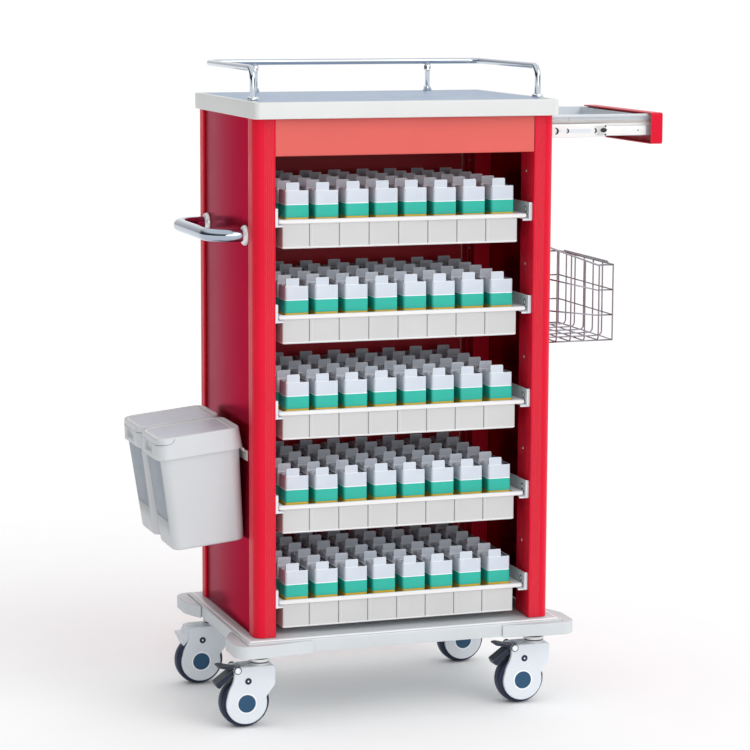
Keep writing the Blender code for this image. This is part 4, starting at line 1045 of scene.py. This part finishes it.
BIN_TILT = math.radians(6.0)
BIN_CORNER = Vector((-0.292, 0.0, 0.367))
BIN_LENGTH, BIN_WIDTH, BIN_HEIGHT = 0.176, 0.147, 0.227
COLLAR_TALL, COLLAR_FLARE, COLLAR_STEP = 0.042, 0.003, 0.006
BIN_DRAFT = math.tan(math.radians(2.6))
BIN_WALL, MOUTH_WALL = 0.0025, 0.0035
BIN_ROUND = 0.026
HINGE_U = 0.016
LID_THICK, LID_GAP = 0.003, 0.0006
RECESS_DEEP = 0.0022


def bin_place(side):
    """The bin's own axes: X out from the cart along its length, Z up its wall."""
    corner = BIN_CORNER + Vector((0, side * 0.0755, 0))
    turn = Matrix.Rotation(-BIN_TILT, 4, "Y") @ Matrix.Rotation(math.pi, 4, "Z")
    return Matrix.Translation(corner) @ turn


def bin_ring(inset, height, wall=0.0):
    """One level of the bin, drawn in by the inset and, on the inside, by its wall."""
    half_length = BIN_LENGTH / 2 - inset - wall
    half_width = BIN_WIDTH / 2 - inset - wall
    radius = BIN_ROUND - wall - 0.4 * inset
    outline = centred(half_length, half_width, radius, 12)
    return [(BIN_LENGTH / 2 + x, y, height) for x, y in outline]


def recess_rings(inner, outer, grow):
    """Levels of the recess down the bin's outer end, from inner to outer off its face."""
    joint = BIN_HEIGHT - COLLAR_TALL
    rings = []
    for height, wide in ((0.058 - grow, 0.044), (0.066, 0.047), (joint - 0.004 + grow, 0.053)):
        face = BIN_LENGTH - COLLAR_STEP - (joint - height) * BIN_DRAFT
        low, high = (face - inner, -wide - grow), (face + outer, wide + grow)
        rings.append([(x, y, height) for x, y in rounded(low, high, 0.0004, 3)])
    return rings


def bin_cutters(name, place):
    """The finger grip under the lid's outer edge and the recess down the bin's outer end."""
    bm = bmesh.new()
    grip = rounded((-0.024, BIN_HEIGHT - 0.031), (0.024, BIN_HEIGHT - 0.0115), 0.0095, 8)
    prism(bm, grip, BIN_LENGTH - 0.0048, BIN_LENGTH + 0.01, "X")
    grip_tool = made_mesh(f"tool_grip_{name}", bm, [], place)
    bm = bmesh.new()
    skin(bm, recess_rings(RECESS_DEEP, 0.03, 0.0))
    recess_tool = made_mesh(f"tool_recess_{name}", bm, [], place)
    return [grip_tool, recess_tool]


def bins():
    """Two bins with a flared collar, each hung on the strip, and their lids."""
    joint = BIN_HEIGHT - COLLAR_TALL
    foot = COLLAR_STEP + joint * BIN_DRAFT
    top = BIN_HEIGHT - LID_GAP
    levels = (
        (foot + 0.006, 0.0), (foot + 0.003, 0.0007), (foot + 0.0012, 0.0025), (foot, 0.006),
        (COLLAR_STEP, joint - 0.0012), (COLLAR_STEP - 0.0004, joint), (0.0006, joint),
        (0.0, joint + 0.0006), (0.0, joint + 0.003), (COLLAR_FLARE * 0.9, BIN_HEIGHT - 0.004),
        (COLLAR_FLARE * 1.05, BIN_HEIGHT - 0.002), (COLLAR_FLARE * 1.35, BIN_HEIGHT - 0.0005),
        (COLLAR_FLARE * 1.75, BIN_HEIGHT), (COLLAR_FLARE, BIN_HEIGHT, MOUTH_WALL - 0.0003),
        (COLLAR_FLARE, BIN_HEIGHT - 0.006, MOUTH_WALL), (COLLAR_STEP, joint - 0.004, BIN_WALL),
        (foot, BIN_WALL + 0.003, BIN_WALL),
    )
    for name, side in (("front", -1), ("rear", 1)):
        place = bin_place(side)
        bm = bmesh.new()
        # Slot 1 paints the narrow band just under the collar's step dark: a painted shadow line.
        skin(bm, [bin_ring(*level) for level in levels], (0, 0, 0, 0, 1, 0))
        piece(
            f"bin_shell_{name}", bm, ["bin_grey", "bin_line"], f"bin_{name}", [f"bin_body_{name}"],
            cutters=bin_cutters(name, place), place=place, sharp=38,
        )
        # The recess's backing plate is a darker grey than the wall: painted shade in the recess.
        bm = bmesh.new()
        skin(bm, recess_rings(RECESS_DEEP + 0.0001, 0.0003 - RECESS_DEEP, -0.0004))
        piece(f"bin_recess_{name}", bm, ["bin_recess"], f"bin_{name}", (),
              place=place)
        bin_trim(name, place, top)
        bin_lid(name, place, top)


def bin_trim(name, place, top):
    """The fixed strip behind the lid, its hinge barrel and the seam round the outer corner."""
    half = BIN_WIDTH / 2 - 0.0075
    bm = bmesh.new()
    slab(bm, (COLLAR_FLARE + 0.0028, -half + 0.01, top - LID_THICK),
         (HINGE_U - 0.0003, half - 0.01, top))
    slab(bm, (HINGE_U - 0.0075, -half + 0.02, top - 0.0005),
         (HINGE_U - 0.005, half - 0.02, top + 0.0006))
    piece(f"bin_hinge_strip_{name}", bm, ["bin_grey"], f"bin_{name}", (),
          0.0006, 2, place=place)
    low, turn = BIN_HEIGHT - 0.0125, 0.0225
    inset = (BIN_HEIGHT - COLLAR_TALL - low) / -COLLAR_TALL * COLLAR_FLARE + 0.0003
    seams = []
    for side in (-1, 1):
        face = side * (BIN_WIDTH / 2 - inset)
        corner = (BIN_LENGTH - inset - turn, side * (BIN_WIDTH / 2 - inset - turn))
        start = corner[0]
        path = [(start - 0.013, face - side * 0.0006, BIN_HEIGHT - 0.003),
                (start - 0.011, face, low + 0.005), (start - 0.006, face, low + 0.0012)]
        for step in range(9):
            t = math.radians(90 * (1 - step / 8))
            path.append((corner[0] + turn * math.cos(t), corner[1] + side * turn * math.sin(t),
                         low))
        path.append((BIN_LENGTH - inset, side * 0.026, low))
        seams.append((path, False))
    wires(f"bin_seam_{name}", seams, 0.0006, "bin_line", f"bin_{name}", (),
          place=place, round_steps=2)


def bin_lid(name, place, top):
    """A flat lid inside the collar's mouth, with a raised border."""
    clearance = COLLAR_FLARE + MOUTH_WALL + LID_GAP
    half = BIN_WIDTH / 2 - clearance
    end = BIN_LENGTH - clearance
    radius = BIN_ROUND - MOUTH_WALL - 0.4 * COLLAR_FLARE

    def ring(inset, height):
        start = HINGE_U + LID_GAP + inset
        outline = arc((end - radius, -half + radius), radius - inset, -90, 0, 12)
        outline += arc((end - radius, half - radius), radius - inset, 0, 90, 12)
        near = 0.01
        outline += [(start + near, half - inset), (start, half - near - inset)]
        outline += [(start, -half + near + inset), (start + near, -half + inset)]
        return [(x, y, height) for x, y in outline]

    bm = bmesh.new()
    skin(bm, [
        ring(0.0006, top - LID_THICK), ring(0.0, top - LID_THICK + 0.0006), ring(0.0, top - 0.0006),
        ring(0.0006, top), ring(0.0034, top), ring(0.004, top - 0.0008),
        ring(0.0044, top - 0.0008),
    ], (1, 1, 1, 1, 1, 0, 0))
    piece(f"bin_cover_{name}", bm, ["bin_lid", "white_moulded"], f"lid_{name}", [f"bin_lid_{name}"],
          place=place, sharp=38)


def hanger():
    """The steel strip under the bins' collars, with rounded ends to its hook."""
    low, high = box_of("bin_hanger_rail")
    step = high.z - 0.005
    half = SHEET / 2
    path = [
        (high.x - half, low.z), (high.x - half, step - half), (low.x + half, step - half),
        (low.x + half, high.z),
    ]
    bm = bmesh.new()
    prism(bm, strip(path, SHEET, 0.0012), low.y, high.y, "Y")
    piece("hanger_strip", bm, ["slide_steel"], "cart", ["bin_hanger_rail"], sharp=40)


# ---------------------------------------------------------------- basket

WIRE_RADIUS = 0.0015
RIM_RADIUS = 0.0023
BASKET_FLAT = 0.034               # length of the rim's level part, at the outer end
BASKET_RIM_Z = 0.8855
BASKET_BEND = 0.009
BASKET_CELLS = (5, 6)


def basket():
    """Welded wires: two ends with a sloping rim, the outer side, the back and a flat bottom."""
    low, high = box_of("wire_basket")
    near, far = low.x + 0.0016, high.x - 0.0016
    front, rear = low.y + 0.0016, high.y - 0.0016
    bottom, back_top = low.z + 0.0016, high.z - 0.0028
    rim_z = BASKET_RIM_Z
    knee = far - BASKET_FLAT
    slope = (back_top - rim_z) / (knee - near)

    def rim(x):
        return rim_z + max(0.0, knee - x) * slope

    def level(x, share):
        return bottom + (rim(x) - bottom) * share

    cells_x, cells_y = BASKET_CELLS
    paths = []
    for i in range(1, cells_x):
        x = near + (far - near) * i / cells_x
        hoop = [(x, front, rim(x)), (x, front, bottom), (x, rear, bottom), (x, rear, rim(x))]
        paths.append((bent(hoop, BASKET_BEND, 6), False))
    for j in range(1, cells_y):
        y = front + (rear - front) * j / cells_y
        hoop = [(near, y, back_top), (near, y, bottom + 0.003), (far - 0.0028, y, bottom + 0.003),
                (far - 0.0028, y, rim_z)]
        paths.append((bent(hoop, BASKET_BEND, 6), False))
    for share in (1 / 3, 2 / 3):
        ring = [
            (near, front, level(near, share)), (knee, front, level(knee, share)),
            (far, front, level(far, share)), (far, rear, level(far, share)),
            (knee, rear, level(knee, share)), (near, rear, level(near, share)),
        ]
        paths.append((ring, True))
    floor = [(near, front, bottom), (far, front, bottom), (far, rear, bottom), (near, rear, bottom)]
    paths.append((floor, True))
    for y in (front, rear):
        paths.append(([(near, y, bottom), (near, y, back_top)], False))
        paths.append(([(far, y, bottom), (far, y, rim_z)], False))
    wires("basket_wires", paths, WIRE_RADIUS, "basket_chrome", "cart", ["wire_basket"],
          round_steps=4)
    edge = [
        (near, front, back_top), (knee, front, rim_z), (far, front, rim_z), (far, rear, rim_z),
        (knee, rear, rim_z), (near, rear, back_top), (near, front, back_top),
    ]
    wires("basket_rim", [(edge, False)], WIRE_RADIUS * 1.25, "basket_chrome", "cart", (),
          round_steps=4)
    bar = [(far, front + 0.03, rim_z + 0.003), (far, rear - 0.03, rim_z + 0.003)]
    wires("basket_edge_bar", [(bar, False)], RIM_RADIUS, "basket_chrome", "cart", (),
          round_steps=5)


# ---------------------------------------------------------------- casters

FORK_HALF, FORK_INSIDE, FORK_TOP = 0.024, 0.017, 0.124
CHEEK_RADIUS, BEARING_RADIUS, AXLE_RADIUS = 0.0415, 0.021, 0.004
TRAIL, WHEEL_RADIUS, WHEEL_HALF = 0.032, 0.05, 0.015
BOSS_BOTTOM = 0.139
PIVOT = Vector((-0.018, 0, 0.066))    # the pedal's pivot, from the wheel's axis
PEDAL_HALF = 0.0155
NOTCH_RADIUS = 0.0145
WHEEL_ROOM, PEDAL_ROOM = 0.003, 0.008
CAP_RADIUS = 0.0182
HOOD_HALF = 0.0175
PIN_PLACE = (0.003, 0.045)            # of the pin over the cap, from the wheel's axis
KNOB_PLACE = (-0.018, 0.0675)         # of the pedal's fixing on the cheek


def swivel_place(name):
    """The caster's upright axis, from its joint in the record."""
    joint = next(j for j in frame["joints"] if j["name"] == f"swivel_{name}_turn")
    return Vector((joint["pos_m"][0] - CENTRE_X, joint["pos_m"][1], 0))


def axle_place(name):
    return Matrix.Translation(swivel_place(name) + Vector((-TRAIL, 0, WHEEL_RADIUS)))


def fork_outline():
    """Side view of the housing, from the wheel's axis: a round cheek, a neck and a square top."""
    top = FORK_TOP - WHEEL_RADIUS
    points = arc((0, 0), CHEEK_RADIUS, 164, 375, 40)
    points += [(0.0455, 0.0185), (0.052, 0.0265), (0.0565, 0.032), (0.0583, 0.0375)]
    points += arc((0.052, top - 0.0065), 0.0065, 0, 90, 8)
    points += [(-0.01, top), (-0.0195, top - 0.001)]
    points += arc((-0.0205, top - 0.006), 0.005, 90, 180, 5)
    points += [(-0.025, 0.056), (-0.0258, 0.05), (-0.0285, 0.0415), (-0.033, 0.033)]
    points += [(-0.0368, 0.024)]
    return points


def y_axis(x, y, z, side):
    """Places a turned shape on a cheek, facing outwards."""
    return facing((x, y, z), (0, side, 0))


def caster_housing(name, braked):
    place = axle_place(name)
    bm = bmesh.new()
    prism(bm, fork_outline(), -FORK_HALF, FORK_HALF, "Y")
    cutters = []
    arch = bmesh.new()
    room = PEDAL_ROOM if braked else WHEEL_ROOM
    prism(arch, arc((0, 0), WHEEL_RADIUS + room, 0, 354, 59), -FORK_INSIDE, FORK_INSIDE, "Y")
    cutters.append(made_mesh(f"tool_arch_{name}", arch, [], place))
    if braked:
        notch = bmesh.new()
        centre = (PIVOT.x - 0.003, PIVOT.z - 0.001)
        prism(notch, arc(centre, NOTCH_RADIUS, 0, 350, 35), -FORK_INSIDE, FORK_INSIDE, "Y")
        cutters.append(made_mesh(f"tool_notch_{name}", notch, [], place))
    piece(
        f"caster_housing_{name}", bm, ["caster_housing"], f"swivel_{name}",
        [f"caster_fork_{name}"], 0.0024, 4, cutters, place,
    )


def caster_fittings(name, braked):
    """Caps and pins on both cheeks, the axle, and the bearing under the plate."""
    place = axle_place(name)
    bm = bmesh.new()
    for side in (-1, 1):
        face = side * FORK_HALF
        turned(bm, [
            (CAP_RADIUS + 0.0022, -0.001), (CAP_RADIUS + 0.0022, 0.0002),
            (CAP_RADIUS + 0.0016, 0.0007), (CAP_RADIUS, 0.0007), (CAP_RADIUS - 0.0004, 0.0003),
        ], 56, (0, 0, 0, 0, 1), y_axis(0, face, 0, side))
        turned(bm, [
            (CAP_RADIUS - 0.0006, 0.0001), (CAP_RADIUS - 0.001, 0.0006),
            (CAP_RADIUS * 0.55, 0.0009), (0.001, 0.001),
        ], 56, (1,), y_axis(0, face, 0, side))
        pin = y_axis(PIN_PLACE[0], face, PIN_PLACE[1], side)
        turned(bm, [(0.0068, -0.001), (0.0067, 0.0004), (0.006, 0.0006)], 36, (2,), pin)
        turned(bm, [(0.0018, 0.0), (0.0017, 0.0009), (0.0008, 0.001)], 28, (3,), pin)
        if braked:
            knob = y_axis(KNOB_PLACE[0], face, KNOB_PLACE[1], side)
            # A dark ring round the knob: painted shade in the gap round it.
            turned(bm, [(0.0078, -0.001), (0.0077, 0.0003), (0.0066, 0.0004)], 36, (4,), knob)
            turned(bm, [
                (0.006, -0.001), (0.0062, 0.0006), (0.0056, 0.0016), (0.0038, 0.0022),
                (0.003, 0.0014), (0.0008, 0.0013),
            ], 36, (0,), knob)
    turned(bm, [(AXLE_RADIUS, -FORK_INSIDE - 0.002), (AXLE_RADIUS, FORK_INSIDE + 0.002)], 28,
           (3,), facing((0, 0, 0), (0, 1, 0)))
    low = FORK_TOP - WHEEL_RADIUS
    tall = BOSS_BOTTOM - FORK_TOP - GAP
    turned(bm, [
        (BEARING_RADIUS, -0.004), (BEARING_RADIUS, 0.0022), (BEARING_RADIUS - 0.002, 0.0032),
        (BEARING_RADIUS - 0.002, 0.0052), (BEARING_RADIUS, 0.0062), (BEARING_RADIUS, tall - 0.0032),
        (BEARING_RADIUS - 0.0045, tall - 0.0022), (BEARING_RADIUS - 0.0045, tall),
    ], 44, (3, 3, 2, 3, 3, 2, 2), Matrix.Translation((TRAIL, 0, low)))
    looks = ["cap_ring", "cap_blue", "tyre_navy", "slide_steel", "hole_shade"]
    piece(f"caster_fittings_{name}", bm, looks, f"swivel_{name}", (),
          place=place, sharp=38)


def rear_hood(name):
    """The stepped cover over the rear wheels' back, where the front ones have pedals."""
    bm = bmesh.new()
    steps = [
        (-0.0245, 0.046), (-0.0225, 0.0715), (-0.029, 0.0705), (-0.032, 0.065),
        (-0.033, 0.061), (-0.046, 0.06), (-0.0475, 0.0565), (-0.043, 0.048),
        (-0.039, 0.04), (-0.036, 0.033), (-0.03, 0.04),
    ]
    prism(bm, steps, -HOOD_HALF, HOOD_HALF, "Y", 0)
    slab(bm, (-0.03, -0.015, 0.069), (-0.013, 0.015, 0.0738), 0)
    piece(f"caster_hood_{name}", bm, ["caster_housing"], f"swivel_{name}", (),
          0.0014, 3, place=axle_place(name))


def wheel(name):
    """Tyre with round shoulders and an inner ridge, on a grey hub."""
    bm = bmesh.new()
    bore, half = AXLE_RADIUS + 0.0001, WHEEL_HALF
    side = [
        (bore, half), (0.0115, half), (0.0125, half - 0.001), (0.0135, half - 0.003),
        (0.035, half - 0.0032), (0.0362, half - 0.0022), (0.0372, half - 0.0004),
        (0.0384, half), (0.0412, half), (0.042, half - 0.0008), (0.0428, half - 0.0008),
        (0.0436, half - 0.0002), (0.0455, half - 0.0004), (0.0478, half - 0.0022),
        (0.0492, half - 0.005), (WHEEL_RADIUS, half - 0.0086), (WHEEL_RADIUS, 0.0008),
    ]
    profile = side + [(r, -z) for r, z in side[::-1]]
    hub = [1] * 5 + [0] * (len(side) - 5)
    slots = hub + [0] + hub[::-1][1:]
    rings = []
    for radius, height in profile + [profile[0]]:
        rings.append([
            (radius * math.cos(a), height, radius * math.sin(a))
            for a in (math.tau * i / 72 for i in range(72))
        ])
    skin(bm, rings, slots, caps=(False, False))
    bmesh.ops.remove_doubles(bm, verts=bm.verts, dist=0.000001)
    piece(f"caster_tyre_{name}", bm, ["tyre_navy", "wheel_hub"], f"wheel_{name}",
          [f"caster_wheel_{name}"], place=axle_place(name), sharp=42)


def pedal(name):
    """The brake's toe plate and heel paddle, and the round pivot through both."""
    node = f"brake_pedal_{name}"
    place = axle_place(name) @ Matrix.Translation(PIVOT)
    half = PEDAL_HALF
    bm = bmesh.new()
    toe = [(0.001, 0.004), (-0.03, 0.0115), (-0.037, 0.0105), (-0.038, 0.0072),
           (-0.033, 0.0062), (-0.011, 0.0015), (-0.002, -0.004)]
    prism(bm, toe, -half, half, "Y", 0)
    heel = [(0.0006, 0.003), (-0.01, 0.0004), (-0.017, -0.0045), (-0.0432, -0.0235),
            (-0.0388, -0.0332), (-0.0335, -0.0343), (-0.012, -0.013), (0.002, -0.0042)]
    prism(bm, heel, -half + 0.001, half - 0.001, "Y", 0)
    piece(f"brake_lever_{name}", bm, ["pedal_black"], f"pedal_{name}", [node],
          0.0013, 3, place=place)
    bm = bmesh.new()
    turned(bm, [(0.005, -half), (0.005, half)], 32, place=facing((0, 0, 0), (0, 1, 0)))
    for side in (-1, 1):
        spot = facing((0, side * half, 0), (0, side, 0))
        turned(bm, [(0.0064, -0.002), (0.0068, 0.0001), (0.0062, 0.0007), (0.003, 0.0008)], 32,
               (1,), spot)
        turned(bm, [(0.0028, 0.0004), (0.0026, 0.001), (0.0008, 0.0011)], 20, (0,), spot)
    piece(f"brake_pivot_{name}", bm, ["pedal_black", "cast_white"], f"pedal_{name}", (),
          place=place, sharp=40)


def casters():
    for name, _, sy in CORNERS:
        braked = sy < 0
        caster_housing(name, braked)
        caster_fittings(name, braked)
        wheel(name)
        if braked:
            pedal(name)
        else:
            rear_hood(name)


# ---------------------------------------------------------------- studio

CAMERA_PLACE = Vector((-1.727, -5.078, 1.471))    # in the cart's own axes
CAMERA_YAW, CAMERA_PITCH, CAMERA_ROLL = 18.84, -8.605, 0.25
CAMERA_LENS = 128.06
FLOOR_RADIUS = 400
WALL_SHADE, SKY_SHADE = 0.06, 1.02
BRIGHT_SIDE = (0.9, 0.6, 0.0)   # the way in which the wall is brightest
SKY_TINT = (0.985, 0.99, 1.0)
WALL_TOP, SKY_START = 0.36, 0.62  # sines of the elevations between which they blend


def camera():
    yaw, pitch, roll = (math.radians(a) for a in (CAMERA_YAW, CAMERA_PITCH, CAMERA_ROLL))
    ahead = Vector((
        math.sin(yaw) * math.cos(pitch), math.cos(yaw) * math.cos(pitch), math.sin(pitch)
    ))
    data = bpy.data.cameras.new("camera")
    data.sensor_width = 36
    data.lens = CAMERA_LENS
    data.clip_end = 100
    obj = linked("camera", data)
    obj.location = CART @ CAMERA_PLACE
    obj.rotation_mode = "QUATERNION"
    obj.rotation_quaternion = ahead.to_track_quat("-Z", "Y") @ Quaternion((0, 0, 1), roll)
    bpy.context.scene.camera = obj


def sun(name, direction, width, strength):
    """A soft light from far away, as wide as its angle in degrees."""
    data = bpy.data.lights.new(name, "SUN")
    data.angle = math.radians(width)
    data.energy = strength
    linked(name, data).rotation_euler = Vector(direction).to_track_quat("-Z", "Y").to_euler()


def surround():
    """A pale studio, with a darker wall in front and to the left for the chrome to reflect."""
    world = bpy.data.worlds.new("surround")
    world.use_nodes = True
    nodes, links = world.node_tree.nodes, world.node_tree.links
    coords = shader_node(nodes, "TexCoord")
    parts = shader_node(nodes, "SeparateXYZ")
    links.new(coords.outputs["Generated"], parts.inputs["Vector"])
    height = mapped(nodes, links, parts.outputs["Z"], 0.0, 1.0, WALL_TOP, SKY_START)
    behind = shader_node(nodes, "VectorMath")
    behind.operation = "DOT_PRODUCT"
    behind.inputs[1].default_value = BRIGHT_SIDE
    links.new(coords.outputs["Generated"], behind.inputs[0])
    across = mapped(nodes, links, behind.outputs["Value"], WALL_SHADE, SKY_SHADE, -0.1, 0.7)
    walls = shader_node(nodes, "CombineColor")
    for channel in ("Red", "Green", "Blue"):
        links.new(across, walls.inputs[channel])
    sky = tuple(SKY_SHADE * channel for channel in SKY_TINT)
    shade = blended(nodes, links, height, walls.outputs["Color"], sky)
    links.new(shade, nodes["Background"].inputs["Color"])
    bpy.context.scene.world = world


def studio():
    """A wide plain pale floor, a pale surround and soft lights."""
    bm = bmesh.new()
    bmesh.ops.create_circle(bm, cap_ends=True, segments=96, radius=FLOOR_RADIUS)
    mesh = bpy.data.meshes.new("floor")
    bm.to_mesh(mesh)
    bm.free()
    mesh.materials.append(finish("floor_pale", (0.96, 0.96, 0.96), 0.9, cloud=0.005))
    floor = linked("floor", mesh)
    surround()
    sun("key", (-0.42, 0.72, -0.55), 45, 0.95)
    sun("fill", (0.1, 0.98, -0.13), 40, 1.1)
    bpy.context.scene.view_settings.view_transform = "Standard"


LOOKS = finishes()
camera()
studio()
cabinet()
worktop()
guard_rail()
base_plate()
bumpers()
trays()
shelf_pan()
shelf_fascia()
slide_members()
push_handle()
bins()
hanger()
basket()
casters()
